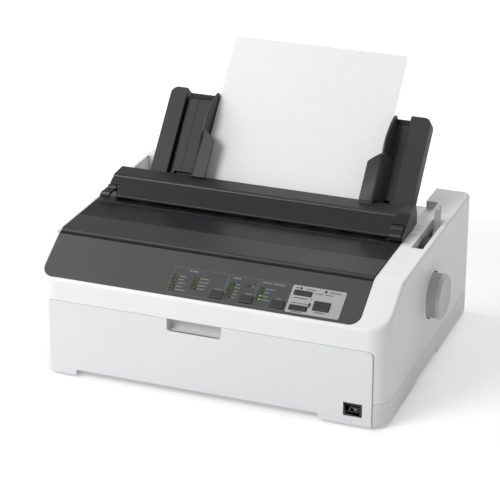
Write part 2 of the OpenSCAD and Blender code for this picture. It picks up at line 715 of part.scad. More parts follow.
// one edge guide in the guide's frame; g is the sheet's edge, s is -1 left or 1 right
module edge_guide(g, s) {
  on_guide() translate([g + s, 0, 0]) mirror([s < 0 ? 0 : 1, 0, 0]) {
    // wall beside the sheet, a blade that thins out towards its tip
    xprof(-3, 0, [[1, -2.3], [guide_h - 3, -2.3], [guide_h - 1, 0], [guide_h - 1, 3], [guide_h - 5, 7],
      [guide_h - 15, 12], [guide_h - 24, 17], [guide_h - 34, 20.5], [guide_h - 45, 21.5], [guide_h - 56, 19.5], [1, 19.5]]);
    // wing over the sheet
    translate([0, 0, 17.5]) linear_extrude(2) polygon([[-3, 1], [14.5, 1], [14.5, 43], [12, 48], [7, 51.6], [0, 57], [-3, 57]]);
    // slanting outer wall
    translate([0, 57, 0]) rotate([90, 0, 0]) linear_extrude(56) polygon([[-9.5, -2.3], [-7.5, -2.3], [-1, 19.5], [-3, 19.5]]);
    // foot under the sheet
    box(-9.5, 2, -2.3, 9, 50, -0.5);
    // stem through the guide's slot
    box(-7, 8.6, -5.4, -2, 11.8, -2.3 + eps);
    box(-9, 5, -7, 0, 15, -5.3);
  }
}

module left_edge_guide() color([0.27, 0.27, 0.28]) edge_guide(sheet_x0, -1);
module right_edge_guide() color([0.27, 0.27, 0.28]) edge_guide(sheet_x1, 1);

module paper_sheet() color([0.97, 0.97, 0.97]) {
  on_guide() box(sheet_x0, 189.5 - 3.5 - sheet_l, 0, sheet_x1, 186, sheet_t);
}

// ---- release lever ----

module release_lever() color([0.72, 0.72, 0.7]) {
  difference() {
    union() {
      translate([0, lever_y, lever_z]) {
        xrod(lever_x - 3.4, lever_x + 3.4, 0, 0, 9);
        xprof(lever_x - 2.5, lever_x + 2.5, [[-2, 4], [17, 50], [24, 50], [8, 2]]);
      }
      // handle above the slot
      xprof(lever_x - 3.2, lever_x + 3.2, bar_pts([[207.5, -16], [214.6, -8], [215.6, -3], [218.6, 18.6], [220.6, 22.2],
        [223.2, 23], [225.6, 21], [222.4, -3], [220.4, -9.6], [218, -16]]));
      // dark quadrant that closes the slot in front of the lever
      translate([0, lever_y, lever_z]) {
        intersection() {
          difference() {
            xrod(lever_x - 6.6, lever_x + 3.4, 0, 0, 50.2);
            xrod(lever_x - 7, lever_x + 4, 0, 0, 46.8);
          }
          xprof(lever_x - 7, lever_x + 4, [[0, 0], [19, 60], [-44, 60]]);
        }
        intersection() {
          xrod(lever_x - 1.5, lever_x + 1.5, 0, 0, 47.4);
          xprof(lever_x - 2, lever_x + 2, [[0, 0], [19, 60], [-44, 60]]);
        }
      }
    }
    xrod(lever_x - 5, lever_x + 5, lever_y, lever_z, 3 + fit);
  }
}

// ---- platen and feed train ----

module platen_shaft() color([0.7, 0.7, 0.72]) {
  xrod(frame_l - 8, hw + knob_out - 4, platen_y, platen_z, shaft_r);
}

module platen_roller() color([0.14, 0.14, 0.15]) {
  difference() {
    xrod(roll_x0, roll_x1, platen_y, platen_z, platen_r);
    xrod(roll_x0 - 1, roll_x1 + 1, platen_y, platen_z, shaft_r);
  }
}

module platen_bearings() color([0.85, 0.84, 0.78]) {
  for (x = [frame_l - frame_t - 1.5, frame_r - 1.5]) {
    difference() {
      union() {
        xrod(x, x + 1.5, platen_y, platen_z, shaft_r + 5);
        xrod(x + 1.5 - eps, x + 1.5 + frame_t, platen_y, platen_z, shaft_r + 3);
      }
      xrod(x - 1, x + 6, platen_y, platen_z, shaft_r + fit);
    }
  }
}

module platen_knob() color([0.6, 0.6, 0.6]) {
  x0 = hw - wall + 0.5;
  x1 = hw + knob_out;
  n = 48;
  difference() {
    union() {
      xrod(x0, x1 - 4, platen_y, platen_z, knob_r - 0.9);
      xrod(x0, x0 + 5, platen_y, platen_z, knob_r);
      xrod(x1 - 6, x1 - 1.2, platen_y, platen_z, knob_r);
      translate([x1 - 1.2 - eps, platen_y, platen_z]) rotate([0, 90, 0]) cylinder(h = 1.2, r1 = knob_r, r2 = knob_r - 1.6);
      for (i = [0 : n - 1]) translate([0, platen_y, platen_z]) rotate([i * 360 / n, 0, 0]) {
        box(x0 + 4, -0.7, knob_r - 2, x1 - 5, 0.7, knob_r - 0.2);
      }
    }
    xrod(x0 - 1, x1 - 4, platen_y, platen_z, shaft_r);
    // hollow from the inside, with the hub left standing
    difference() {
      xrod(x0 - 1, x1 - 3, platen_y, platen_z, knob_r - 3);
      xrod(x0 - 2, x1, platen_y, platen_z, shaft_r + 3);
    }
  }
}

module paper_pan() color([0.16, 0.16, 0.17]) {
  intersection() {
    difference() {
      xrod(roll_x0 + 2, roll_x1 - 2, platen_y, platen_z, platen_r + 3.4);
      xrod(roll_x0, roll_x1, platen_y, platen_z, platen_r + 2);
    }
    xprof(roll_x0, roll_x1, [[platen_y, platen_z], [platen_y - 40, platen_z - 24], [platen_y - 30, platen_z - 60],
      [platen_y + 50, platen_z - 60], [platen_y + 40, platen_z - 4]]);
  }
  // feet of the pan down to the chassis
  for (x = [roll_x0 + 24, (roll_x0 + roll_x1) / 2, roll_x1 - 60]) {
    box(x, platen_y - 4, base_z + frame_t, x + 3, platen_y + 4, platen_z - platen_r - 3);
    box(x - 8, platen_y - 6, base_z + frame_t, x + 11, platen_y + 6, base_z + frame_t + 2);
  }
}

module platen_gear() color([0.9, 0.88, 0.8]) {
  difference() {
    translate([0, platen_y, platen_z]) union() {
      gear(gear_x, gear_x + gear_w, teeth_p, ang_i);
      xrod(gear_x - 1, gear_x + gear_w + 4, 0, 0, shaft_r + 3);
    }
    xrod(gear_x - 2, gear_x + gear_w + 5, platen_y, platen_z, shaft_r);
    for (i = [0 : 4]) translate([0, platen_y, platen_z]) rotate([i * 72, 0, 0]) {
      xrod(gear_x - 2, gear_x + gear_w + 1, 0, (mod * teeth_p / 2 + shaft_r + 2) / 2, 3.4);
    }
  }
}

module feed_idler_gear() color([0.9, 0.88, 0.8]) {
  difference() {
    translate([0, idl_y, idl_z]) union() {
      gear(gear_x, gear_x + gear_w, teeth_i, ang_i + 180 + 180 / teeth_i);
      xrod(gear_x - 1, gear_x + gear_w + 1, 0, 0, 5);
    }
    xrod(gear_x - 2, gear_x + gear_w + 3, idl_y, idl_z, 3 + fit);
  }
}

// a tooth of the idler stands here; its neighbours' gaps are turned to suit
idl_a = ang_i + 180 + 180 / teeth_i;
function gap_for(dir, n) = dir + 180 + 180 / n + ((dir - idl_a) * teeth_i / 360 - round((dir - idl_a) * teeth_i / 360)) * 360 / n;

module feed_motor_pinion() color([0.8, 0.68, 0.3]) {
  difference() {
    translate([0, mot_y, mot_z]) gear(gear_x, gear_x + gear_w, teeth_m, gap_for(ang_m, teeth_m));
    xrod(gear_x - 1, gear_x + gear_w + 1, mot_y, mot_z, 1.5);
  }
  xrod(frame_r - 10, gear_x + gear_w, mot_y, mot_z, 1.5);
}

module feed_motor() color([0.25, 0.25, 0.27]) {
  difference() {
    union() {
      xrod(frame_r - 36, frame_r - 2, mot_y, mot_z, 18);
      box(frame_r - 2 - eps, mot_y - 24, mot_z - 9, frame_r - 0.2, mot_y + 24, mot_z + 9);
      xrod(frame_r - 38, frame_r - 36 + eps, mot_y, mot_z, 5);
    }
    xrod(frame_r - 12, frame_r + 1, mot_y, mot_z, 2.2);
    for (s = [-1, 1]) xrod(frame_r - 3, frame_r + 1, mot_y + s * 21, mot_z, 1.6);
  }
}

module tractor_shaft() color([0.7, 0.7, 0.72]) {
  xrod(frame_l - 5, gear_x + gear_w, tra_y, tra_z, 3);
  difference() {
    translate([0, tra_y, tra_z]) gear(gear_x, gear_x + gear_w, teeth_t, gap_for(ang_t, teeth_t));
    xrod(gear_x - 1, gear_x + gear_w - 1, tra_y, tra_z, 2.9);
  }
}

module tractor_guide_rod() color([0.7, 0.7, 0.72]) {
  xrod(frame_l - 1.4, frame_r + 1.4, rod2_y, rod2_z, 3);
}

// one tractor: housing, sprocket lid and the row of pins
module tractor(x, s) {
  y0 = tra_y - 9;
  y1 = rod2_y + 9;
  difference() {
    union() {
      box(x - 4, y0, tra_z - 9, x + 4, y1, tra_z + 9);
      yrod(y0 + 4, y0 + 4 + eps, x, tra_z, 1);
      box(x + 4 - eps, y0 + 6, tra_z - 6, x + 14, y1 - 6, tra_z + 8);
    }
    xrod(x - 5, x + 20, tra_y, tra_z, 3 + fit);
    xrod(x - 5, x + 20, rod2_y, rod2_z, 3 + fit);
  }
  for (i = [0 : 4]) zrod(tra_z + 8 - eps, tra_z + 9.6, x + 10, tra_y + 2 + i * 8, 1.7);
  // lid over the pins
  difference() {
    box(x - 4, y0 + 3, tra_z + 9 - eps, x + 15, y1 - 3, tra_z + 12);
    box(x + 4, y0 + 2, tra_z + 8, x + 16, y1, tra_z + 10);
    box(x + 8, y0 + 6, tra_z + 8, x + 12, y1 - 6, tra_z + 14);
  }
}

module left_tractor() color([0.2, 0.2, 0.22]) tractor(roll_x0 + 30, 1);
module right_tractor() color([0.2, 0.2, 0.22]) {
  translate([roll_x1 - 48, 0, 0]) mirror([1, 0, 0]) tractor(0, 1);
}

// ---- frames ----

frame_pts = bar_pts([[84, -shoulder_h + base_z], [84, -72], [97, -72], [116, -52], [156, -52], [159, -6], [172, -2],
  [196, -2], [204, 0], [222, 0], [262, -45], [262, -shoulder_h + base_z]]);

module side_frame(x, drive) {
  difference() {
    union() {
      xprof(x, x + frame_t, frame_pts);
      // foot flange on the chassis plate
      box(drive ? x - 12 : x, car_y - 30, base_z + frame_t, drive ? x + frame_t : x + 12 + frame_t, platen_y + 80, base_z + 2 * frame_t);
    }
    xrod(x - 1, x + 3, platen_y, platen_z, shaft_r + 3);
    xrod(x - 1, x + 3, car_y, car_z, rod_r);
    xrod(x - 1, x + 3, tra_y, tra_z, 3 + fit);
    xrod(x - 1, x + 3, rod2_y, rod2_z, 3);
    if (drive) {
      xrod(x - 1, x + 3, mot_y, mot_z, 5);
    }
  }
}

module left_side_frame() color([0.66, 0.67, 0.69]) {
  side_frame(frame_l - frame_t, false);
  // stud for the gap lever
  xrod(frame_l - frame_t - 8, frame_l - frame_t + eps, gap_y, gap_z, 2.5);
}

module right_side_frame() color([0.66, 0.67, 0.69]) {
  side_frame(frame_r, true);
  // studs for the idler gear and the release lever
  xrod(frame_r + frame_t - eps, gear_x + gear_w + 2, idl_y, idl_z, 3);
  xrod(frame_r + frame_t - eps, lever_x + 6, lever_y, lever_z, 3);
}

module chassis_plate() color([0.6, 0.61, 0.63]) {
  difference() {
    box(frame_l, car_y - 40, base_z, frame_r, platen_y + 90, base_z + frame_t);
    box(frame_l + 40, platen_y + 14, base_z - 1, frame_l + 215, platen_y + 60, base_z + 5);
    for (x = [frame_l + 20, frame_r - 20]) {
      for (y = [car_y - 34, platen_y + 52]) zrod(base_z - 1, base_z + 4, x, y, 1.7);
    }
  }
}

// ---- carriage ----

module carriage_shaft() color([0.74, 0.74, 0.76]) {
  xrod(frame_l - frame_t - 1, frame_r + frame_t + 1, car_y, car_z, rod_r);
}

module front_rail() color([0.66, 0.67, 0.69]) {
  // folded rail the carriage's front foot rides on
  xprof(frame_l, pul_r - 18, [[belt_y - 12, car_z - 24], [belt_y - 12, car_z + 8], [belt_y - 6, car_z + 8],
    [belt_y - 6, car_z + 8 - frame_t], [belt_y - 12 + frame_t, car_z + 8 - frame_t], [belt_y - 12 + frame_t, car_z - 24]]);
  // leg at the right end, standing on the chassis plate
  box(pul_r - 22, belt_y - 12, base_z + frame_t, pul_r - 18, belt_y - 12 + frame_t, car_z - 24 + eps);
  // pin for the idler pulley
  yrod(belt_y - 12 + frame_t - eps, belt_y + 6.4, pul_l, belt_z, 2.5);
}

module carriage() color([0.13, 0.13, 0.14]) {
  w = 24;
  difference() {
    union() {
      box(-w, car_y - 9, car_z - 9, w, car_y + 11, car_z + 12);
      box(-w + 2, belt_y - 8, car_z + 8.4, w - 2, car_y + 2, car_z + 12);
      // belt clamp
      box(-8, belt_y - 4.5, belt_z + pulley_r - 3.5, 8, belt_y + 4.5, car_z + 12);
      for (x = [-w, w - 3]) box(x, car_y + 4, car_z + 11, x + 3, car_y + 30, car_z + 24);
    }
    xrod(-w - 1, w + 1, car_y, car_z, rod_r + fit);
    box(-9, belt_y - belt_w / 2 - 0.5, belt_z + pulley_r - 0.5, 9, belt_y + belt_w / 2 + 0.5, belt_z + pulley_r + belt_t + 1.1);
  }
}

module print_head() color([0.3, 0.3, 0.32]) {
  hz = platen_z;
  nose = platen_y - platen_r - 1.6;
  difference() {
    union() {
      // round body with cooling fins, then the nose
      yrod(nose - 30, nose - 16, 0, hz + 2, 18);
      for (i = [0 : 3]) yrod(nose - 29 + i * 4, nose - 27.4 + i * 4, 0, hz + 2, 20.6);
      xprof(-9, 9, [[nose - 16.5, hz - 10], [nose - 3, hz - 4], [nose, hz - 2.4], [nose, hz + 2.4], [nose - 3, hz + 5], [nose - 16.5, hz + 14]]);
      box(-12, nose - 38, hz - 6, 12, nose - 30 + eps, hz + 12);
    }
    box(-30, nose - 60, hz - 30, 30, nose + 10, hz - 10);
  }
}

// ---- belt drive ----

module timing_belt() color([0.1, 0.1, 0.1]) {
  r0 = pulley_r + 0.35;
  r1 = r0 + belt_t;
  y0 = belt_y - belt_w / 2;
  y1 = belt_y + belt_w / 2;
  difference() {
    union() {
      yrod(y0, y1, pul_l, belt_z, r1);
      yrod(y0, y1, pul_r, belt_z, r1);
      box(pul_l, y0, belt_z - r1, pul_r, y1, belt_z + r1);
    }
    yrod(y0 - 1, y1 + 1, pul_l, belt_z, r0);
    yrod(y0 - 1, y1 + 1, pul_r, belt_z, r0);
    box(pul_l, y0 - 1, belt_z - r0, pul_r, y1 + 1, belt_z + r0);
  }
}

module pulley(x, bore) {
  difference() {
    union() {
      yrod(belt_y - 4, belt_y + 4, x, belt_z, pulley_r);
      yrod(belt_y - 5.2, belt_y - 4 + eps, x, belt_z, pulley_r + 2.6);
      yrod(belt_y + 4 - eps, belt_y + 5.2, x, belt_z, pulley_r + 2.6);
    }
    yrod(belt_y - 7, belt_y + 7, x, belt_z, bore);
  }
}

module motor_pulley() color([0.8, 0.8, 0.82]) {
  pulley(pul_r, 1.5);
  yrod(belt_y - 16, belt_y + 5.2, pul_r, belt_z, 1.5);
}

module idler_pulley() color([0.8, 0.8, 0.82]) pulley(pul_l, 2.5 + fit);

module carriage_motor() color([0.25, 0.25, 0.27]) {
  difference() {
    union() {
      yrod(belt_y - 33, belt_y - 9.5, pul_r, belt_z, 15);
      box(pul_r - 16, belt_y - 9.5 - eps, belt_z - 16, pul_r + 16, belt_y - 7.9, belt_z + 16);
      // bracket down to the chassis plate
      box(pul_r - 16, belt_y - 9.5, base_z + frame_t, frame_r - 12.4, belt_y - 7.9, belt_z - 15);
    }
    yrod(belt_y - 18, belt_y - 7, pul_r, belt_z, 2);
  }
}

// ---- ribbon ----

module ribbon_cartridge() color([0.1, 0.1, 0.11]) {
  difference() {
    union() {
      soft_box(frame_l - 1.4, cart_y0, cart_z0, frame_r + 1.4, cart_y1, cart_z1, 5);
      // arms that carry the ribbon to the platen's ends
      box(frame_l + 0.6, cart_y1 - 4, cart_z0 + 1, roll_x0 - 4, platen_y - platen_r + 1, cart_z1 - 2);
      box(roll_x1 + 1, cart_y1 - 4, cart_z0 + 1, frame_r - 1.9, platen_y - platen_r + 1, cart_z1 - 2);
      box(frame_l + 30, cart_y0 + 4, cart_z1 - eps, frame_r - 40, cart_y1 - 4, cart_z1 + 2);
    }
    zrod(cart_z1 - 9, cart_z1 + 5, frame_l + 14, cart_y0 + 15, 3 + fit);
  }
}

module ribbon() color([0.05, 0.05, 0.06]) {
  y = platen_y - platen_r - 1;
  box(roll_x0 - 3.6, y, cart_z0 + 3, roll_x1 + 0.6, y + 0.25, cart_z1 - 5);
}

module ribbon_knob() color([0.12, 0.25, 0.5]) {
  x = frame_l + 14;
  y = cart_y0 + 15;
  zrod(cart_z1 - 8.6, cart_z1 + 0.6, x, y, 3);
  zrod(cart_z1 + 0.4, cart_z1 + 2.4, x, y, 11);
  zrod(cart_z1 + 2.4 - eps, cart_z1 + 9, x, y, 8);
  for (i = [0 : 17]) translate([x, y, cart_z1 + 2.4]) rotate([0, 0, i * 20]) translate([7.6, -0.7, 0]) cube([1, 1.4, 6]);
}

module gap_lever() color([0.15, 0.4, 0.35]) {
  x1 = frame_l - frame_t - 1;
  x0 = x1 - 4;
  difference() {
    union() {
      xrod(x0, x1, gap_y, gap_z, 7);
      xprof(x0, x1, [[gap_y - 4, gap_z], [gap_y - 9, gap_z + 40], [gap_y - 2, gap_z + 42], [gap_y + 4, gap_z]]);
      xrod(x0 - 3, x1, gap_y - 5.5, gap_z + 41, 3.6);
    }
    xrod(x0 - 1, x1 + 1, gap_y, gap_z, 2.5 + fit);
  }
}

// ---- electrics ----

module main_board() color([0.1, 0.35, 0.2]) {
  x0 = frame_l + 6;
  x1 = frame_l + 246;
  y0 = platen_y + 16;
  y1 = platen_y + 92;
  z = base_z + frame_t + 4;
  difference() {
    box(x0, y0, z, x1, y1, z + 1.6);
    for (x = [x0 + 5, x1 - 5]) for (y = [y0 + 5, y1 - 5]) zrod(z - 1, z + 3, x, y, 1.6);
  }
  for (x = [x0 + 12, x1 - 12]) for (y = [y0 + 5, y1 - 9]) zrod(base_z + frame_t, z + eps, x, y, 2.5);
  box(x0 + 60, y0 + 24, z + 1.5, x0 + 88, y0 + 52, z + 5);
  box(x0 + 110, y0 + 20, z + 1.5, x0 + 150, y0 + 34, z + 4.6);
  box(x0 + 110, y0 + 42, z + 1.5, x0 + 150, y0 + 56, z + 4.6);
  for (i = [0 : 3]) zrod(z + 1.5, z + 13, x0 + 176 + i * 14, y0 + 60, 4.5);
  box(x0 + 20, y0 + 4, z + 1.5, x0 + 50, y0 + 12, z + 9);
  box(x0 + 170, y0 + 4, z + 1.5, x0 + 214, y0 + 12, z + 9);
  for (i = [0 : 6]) box(x0 + 172 + i * 8, y0 + 26, z + 1.5, x0 + 174 + i * 8, y0 + 46, z + 16);
}

module power_supply() color([0.75, 0.7, 0.3]) {
  x0 = frame_l + 10;
  y0 = yf + 13;
  z = in_z + 4;
  box(x0, y0, z, x0 + 150, y0 + 60, z + 1.6);
  for (x = [x0 + 6, x0 + 144]) for (y = [y0 + 6, y0 + 54]) zrod(in_z, z + eps, x, y, 3);
  box(x0 + 54, y0 + 12, z + 1.5, x0 + 90, y0 + 46, z + 29);
  zrod(z + 1.5, z + 30, x0 + 30, y0 + 36, 12);
  zrod(z + 1.5, z + 22, x0 + 112, y0 + 16, 6);
  zrod(z + 1.5, z + 22, x0 + 128, y0 + 16, 6);
  for (i = [0 : 5]) box(x0 + 102 + i * 7, y0 + 30, z + 1.5, x0 + 104 + i * 7, y0 + 54, z + 25);
  box(x0 + 102, y0 + 28, z + 1.5, x0 + 139, y0 + 30.2, z + 25);
  box(x0 + 8, y0 + 4, z + 1.5, x0 + 22, y0 + 14, z + 12);
}

module interface_ports() color([0.7, 0.7, 0.72]) {
  x0 = -hw + 62.4;
  x1 = -hw + 161.6;
  z0 = 16.4;
  z1 = part_z + 11.6;
  zc = (z0 + z1) / 2;
  difference() {
    box(x0, yr - wall, z0, x1, yr - 0.6, z1);
    box(x0 + 8, yr - wall - 1, zc - 5.5, x0 + 62, yr + 1, zc + 5.5);
    box(x0 + 74, yr - wall - 1, zc - 5.8, x0 + 86.4, yr + 1, zc + 5.8);
  }
  // parallel socket and serial bus socket, each a shell round a tongue
  difference() {
    box(x0 + 8, yr - 14, zc - 5.5, x0 + 62, yr + 0, zc + 5.5);
    box(x0 + 10, yr - 11, zc - 3.8, x0 + 60, yr + 1, zc + 3.8);
  }
  box(x0 + 13, yr - 11 - eps, zc - 1, x0 + 57, yr - 1.5, zc + 1);
  difference() {
    box(x0 + 74, yr - 14, zc - 5.8, x0 + 86.4, yr, zc + 5.8);
    box(x0 + 75.4, yr - 12, zc - 4.4, x0 + 85, yr + 1, zc + 4.4);
  }
  box(x0 + 77.4, yr - 12 - eps, zc - 1.6, x0 + 83, yr - 2, zc + 1.6);
  box(x0 + 2, yr - 34, zc - 7.6, x1 - 2, yr - wall + eps, zc - 6);
}

module ac_inlet() color([0.08, 0.08, 0.08]) {
  x0 = hw - 111.7;
  x1 = hw - 84.3;
  z0 = part_z + 5.3;
  z1 = part_z + 25.7;
  difference() {
    box(x0, yr - 20, z0, x1, yr + 0.2, z1);
    yrod(yr - 16, yr + 1, x0 + 7, z1 - 8, 4.4);
    yrod(yr - 16, yr + 1, x1 - 7, z1 - 8, 4.4);
    box(x0 + 2.6, yr - 16, z0 + 3, x1 - 2.6, yr + 1, z1 - 8);
    box(x0 + 7, yr - 16, z1 - 9, x1 - 7, yr + 1, z1 - 3.6);
  }
  for (p = [[-7, 0], [0, 3], [7, 0]]) {
    box((x0 + x1) / 2 + p[0] - 1, yr - 16 - eps, z0 + 8 + p[1], (x0 + x1) / 2 + p[0] + 1, yr - 3, z0 + 12 + p[1]);
  }
}

module chassis_screws() color([0.55, 0.55, 0.57]) {
  for (x = [frame_l + 20, frame_r - 20]) {
    for (y = [car_y - 34, platen_y + 52]) {
      difference() {
        union() {
          zrod(base_z - 1.8, base_z + frame_t, x, y, 1.5);
          zrod(base_z + frame_t, base_z + frame_t + 2, x, y, 3);
        }
        box(x - 2, y - 0.4, base_z + frame_t + 1, x + 2, y + 0.4, base_z + frame_t + 3);
      }
    }
  }
}

lower_case();
rubber_feet();
upper_case();
front_cover();
control_panel();
key_plate();
status_lamps();
font_button();
pitch_button();
tear_off_button();
load_button();
feed_button();
pause_button();
panel_board();
power_rocker();
power_switch_housing();
printer_cover();
cover_window();
tension_cover();
left_release_tab();
right_release_tab();
tension_rollers();
sheet_guide();
left_edge_guide();
right_edge_guide();
paper_sheet();
release_lever();
platen_knob();
platen_roller();
platen_shaft();
platen_bearings();
paper_pan();
platen_gear();
feed_idler_gear();
feed_motor();
feed_motor_pinion();
tractor_shaft();
tractor_guide_rod();
left_tractor();
right_tractor();
left_side_frame();
right_side_frame();
chassis_plate();
carriage_shaft();
front_rail();
carriage();
print_head();
timing_belt();
carriage_motor();
motor_pulley();
idler_pulley();
gap_lever();
ribbon_cartridge();
ribbon();
ribbon_knob();
main_board();
power_supply();
interface_ports();
ac_inlet();
chassis_screws();
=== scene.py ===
import math

import bpy
from mathutils import Matrix, Vector


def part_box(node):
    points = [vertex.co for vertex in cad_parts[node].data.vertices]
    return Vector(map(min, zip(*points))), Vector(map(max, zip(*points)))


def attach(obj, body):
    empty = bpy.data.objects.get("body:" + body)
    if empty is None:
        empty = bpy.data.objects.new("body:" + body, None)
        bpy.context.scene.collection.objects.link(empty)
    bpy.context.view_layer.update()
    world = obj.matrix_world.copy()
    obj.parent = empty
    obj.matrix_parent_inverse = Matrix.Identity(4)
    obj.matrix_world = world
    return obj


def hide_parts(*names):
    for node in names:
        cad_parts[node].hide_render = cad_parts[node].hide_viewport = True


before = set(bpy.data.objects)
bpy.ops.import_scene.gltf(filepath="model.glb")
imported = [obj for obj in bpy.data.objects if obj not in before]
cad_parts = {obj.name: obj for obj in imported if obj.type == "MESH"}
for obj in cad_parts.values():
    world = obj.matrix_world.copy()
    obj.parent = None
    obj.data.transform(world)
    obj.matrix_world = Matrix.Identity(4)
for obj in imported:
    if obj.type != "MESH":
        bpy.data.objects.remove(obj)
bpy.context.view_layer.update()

# ---------------------------------------------------------------------------
# The base: a shallow tub of injection-moulded ABS with four short legs. It
# carries the whole machine and is screwed to the upper case from below. Its
# outside comes from a spark-eroded tool, an even grain that dulls reflections.
# ---------------------------------------------------------------------------

MM = 0.001  # sizes are written in millimetres, Blender works in metres


def let_go():
    """Leave edit mode with nothing selected."""
    if bpy.context.mode != "OBJECT":
        bpy.ops.object.mode_set(mode="OBJECT")
    bpy.ops.object.select_all(action="DESELECT")


def take(piece):
    let_go()
    piece.select_set(True)
    bpy.context.view_layer.objects.active = piece
    return piece


def block(name, x0, y0, z0, x1, y1, z1):
    """A squared-up blank between two corners."""
    let_go()
    middle = [(x0 + x1) / 2 * MM, (y0 + y1) / 2 * MM, (z0 + z1) / 2 * MM]
    bpy.ops.mesh.primitive_cube_add(size=1, location=middle)
    piece = bpy.context.object
    piece.name = name
    piece.scale = ((x1 - x0) * MM, (y1 - y0) * MM, (z1 - z0) * MM)
    bpy.ops.object.transform_apply(location=True, rotation=True, scale=True)
    return piece


def rounded(corners, steps=6):
    """An outline with rounded corners; each corner is (a, b) or (a, b, radius)."""
    out = []
    for i, corner in enumerate(corners):
        here = Vector(corner[:2])
        if len(corner) < 3 or not corner[2]:
            out.append(tuple(here))
            continue
        back = (Vector(corners[i - 1][:2]) - here).normalized()
        ahead = (Vector(corners[(i + 1) % len(corners)][:2]) - here).normalized()
        half = back.angle(ahead) / 2
        centre = here + (back + ahead).normalized() * corner[2] / math.sin(half)
        first = here + back * corner[2] / math.tan(half) - centre
        last = here + ahead * corner[2] / math.tan(half) - centre
        turn = math.atan2(first.x * last.y - first.y * last.x, first.dot(last))
        for k in range(steps + 1):
            a = turn * k / steps
            out.append((centre.x + first.x * math.cos(a) - first.y * math.sin(a),
                        centre.y + first.x * math.sin(a) + first.y * math.cos(a)))
    return out


def drawn(name, outline, low, high, along="X"):
    """A filled outline, pulled out along one axis."""
    let_go()
    bpy.ops.mesh.primitive_circle_add(vertices=len(outline), radius=1, fill_type="NGON")
    piece = bpy.context.object
    piece.name = name
    for point, (a, b) in zip(piece.data.vertices, outline):
        place = {"X": (low, a, b), "Y": (a, low, b), "Z": (a, b, low)}[along]
        point.co = Vector(place) * MM
    bpy.ops.object.mode_set(mode="EDIT")
    bpy.ops.mesh.select_all(action="SELECT")
    step = [(high - low) * MM if axis == along else 0 for axis in "XYZ"]
    bpy.ops.mesh.extrude_region_move(TRANSFORM_OT_translate={"value": step})
    bpy.ops.mesh.select_all(action="SELECT")
    bpy.ops.mesh.normals_make_consistent(inside=False)
    bpy.ops.object.mode_set(mode="OBJECT")
    return piece


def work(piece, kind, **settings):
    """One modifier, set and applied."""
    take(piece)
    tool = piece.modifiers.new(kind.title(), kind)
    for key, value in settings.items():
        setattr(tool, key, value)
    bpy.ops.object.modifier_apply(modifier=tool.name)
    return piece


def cut(piece, *tools):
    """Take the tools' shapes out of a piece."""
    for tool in tools:
        work(piece, "BOOLEAN", operation="DIFFERENCE", solver="EXACT", object=tool)
        bpy.data.objects.remove(tool)
    return piece


def fuse(piece, *others):
    for other in others:
        work(piece, "BOOLEAN", operation="UNION", solver="EXACT", object=other)
        bpy.data.objects.remove(other)
    return piece


def round_edges(piece, wanted, width, segments=3):
    """Bevel the edges that wanted(middle, direction, normals of the two faces) picks."""
    take(piece)
    bpy.ops.object.mode_set(mode="EDIT")
    bpy.ops.mesh.select_mode(type="EDGE")
    bpy.ops.mesh.select_all(action="DESELECT")
    bpy.ops.object.mode_set(mode="OBJECT")
    mesh, sides = piece.data, {}
    for face in mesh.polygons:
        for key in face.edge_keys:
            sides.setdefault(key, []).append(face.normal.copy())
    for edge in mesh.edges:
        a, b = (mesh.vertices[i].co / MM for i in edge.vertices)
        normals = sides.get(edge.key, [])
        edge.select = len(normals) == 2 and bool(wanted((a + b) / 2, (b - a).normalized(), normals))
    bpy.ops.object.mode_set(mode="EDIT")
    bpy.ops.mesh.bevel(offset=width * MM, segments=segments, affect="EDGES")
    bpy.ops.object.mode_set(mode="OBJECT")
    return piece


def soften(piece, width=0.4, segments=2, angle=32, shade=42):
    """Break the sharp edges, then shade it as a moulding with flat faces."""
    if width:
        work(piece, "BEVEL", width=width * MM, segments=segments, limit_method="ANGLE",
             angle_limit=math.radians(angle), use_clamp_overlap=False, miter_outer="MITER_ARC")
    take(piece)
    bpy.ops.object.shade_smooth_by_angle(angle=math.radians(shade))
    return work(piece, "WEIGHTED_NORMAL", keep_sharp=True)


def ink(code):
    """An sRGB hex colour as the linear values that a shader wants."""
    parts = [int(code[i:i + 2], 16) / 255 for i in (1, 3, 5)]
    return [*(p / 12.92 if p <= 0.04045 else ((p + 0.055) / 1.055) ** 2.4 for p in parts), 1.0]


def add(tree, kind, settings, links=()):
    """Add a node: settings are its options and socket values, links join its sockets to others."""
    node = tree.nodes.new(kind)
    for key, value in settings.items():
        if isinstance(key, str) and hasattr(node, key):
            setattr(node, key, value)
        else:
            node.inputs[key].default_value = value
    for key, source in dict(links).items():
        tree.links.new(source, node.inputs[key])
    return node


def finish(name, colour, roughness, **sockets):
    """A material with one shader; its even values sit on the shader's own sockets."""
    material = bpy.data.materials.new(name)
    material.use_nodes = True
    tree = material.node_tree
    shader = tree.nodes["Principled BSDF"]
    shader.inputs["Base Color"].default_value = ink(colour)
    shader.inputs["Roughness"].default_value = roughness
    for key, value in sockets.items():
        shader.inputs[key.replace("_", " ")].default_value = value
    return material, tree, shader


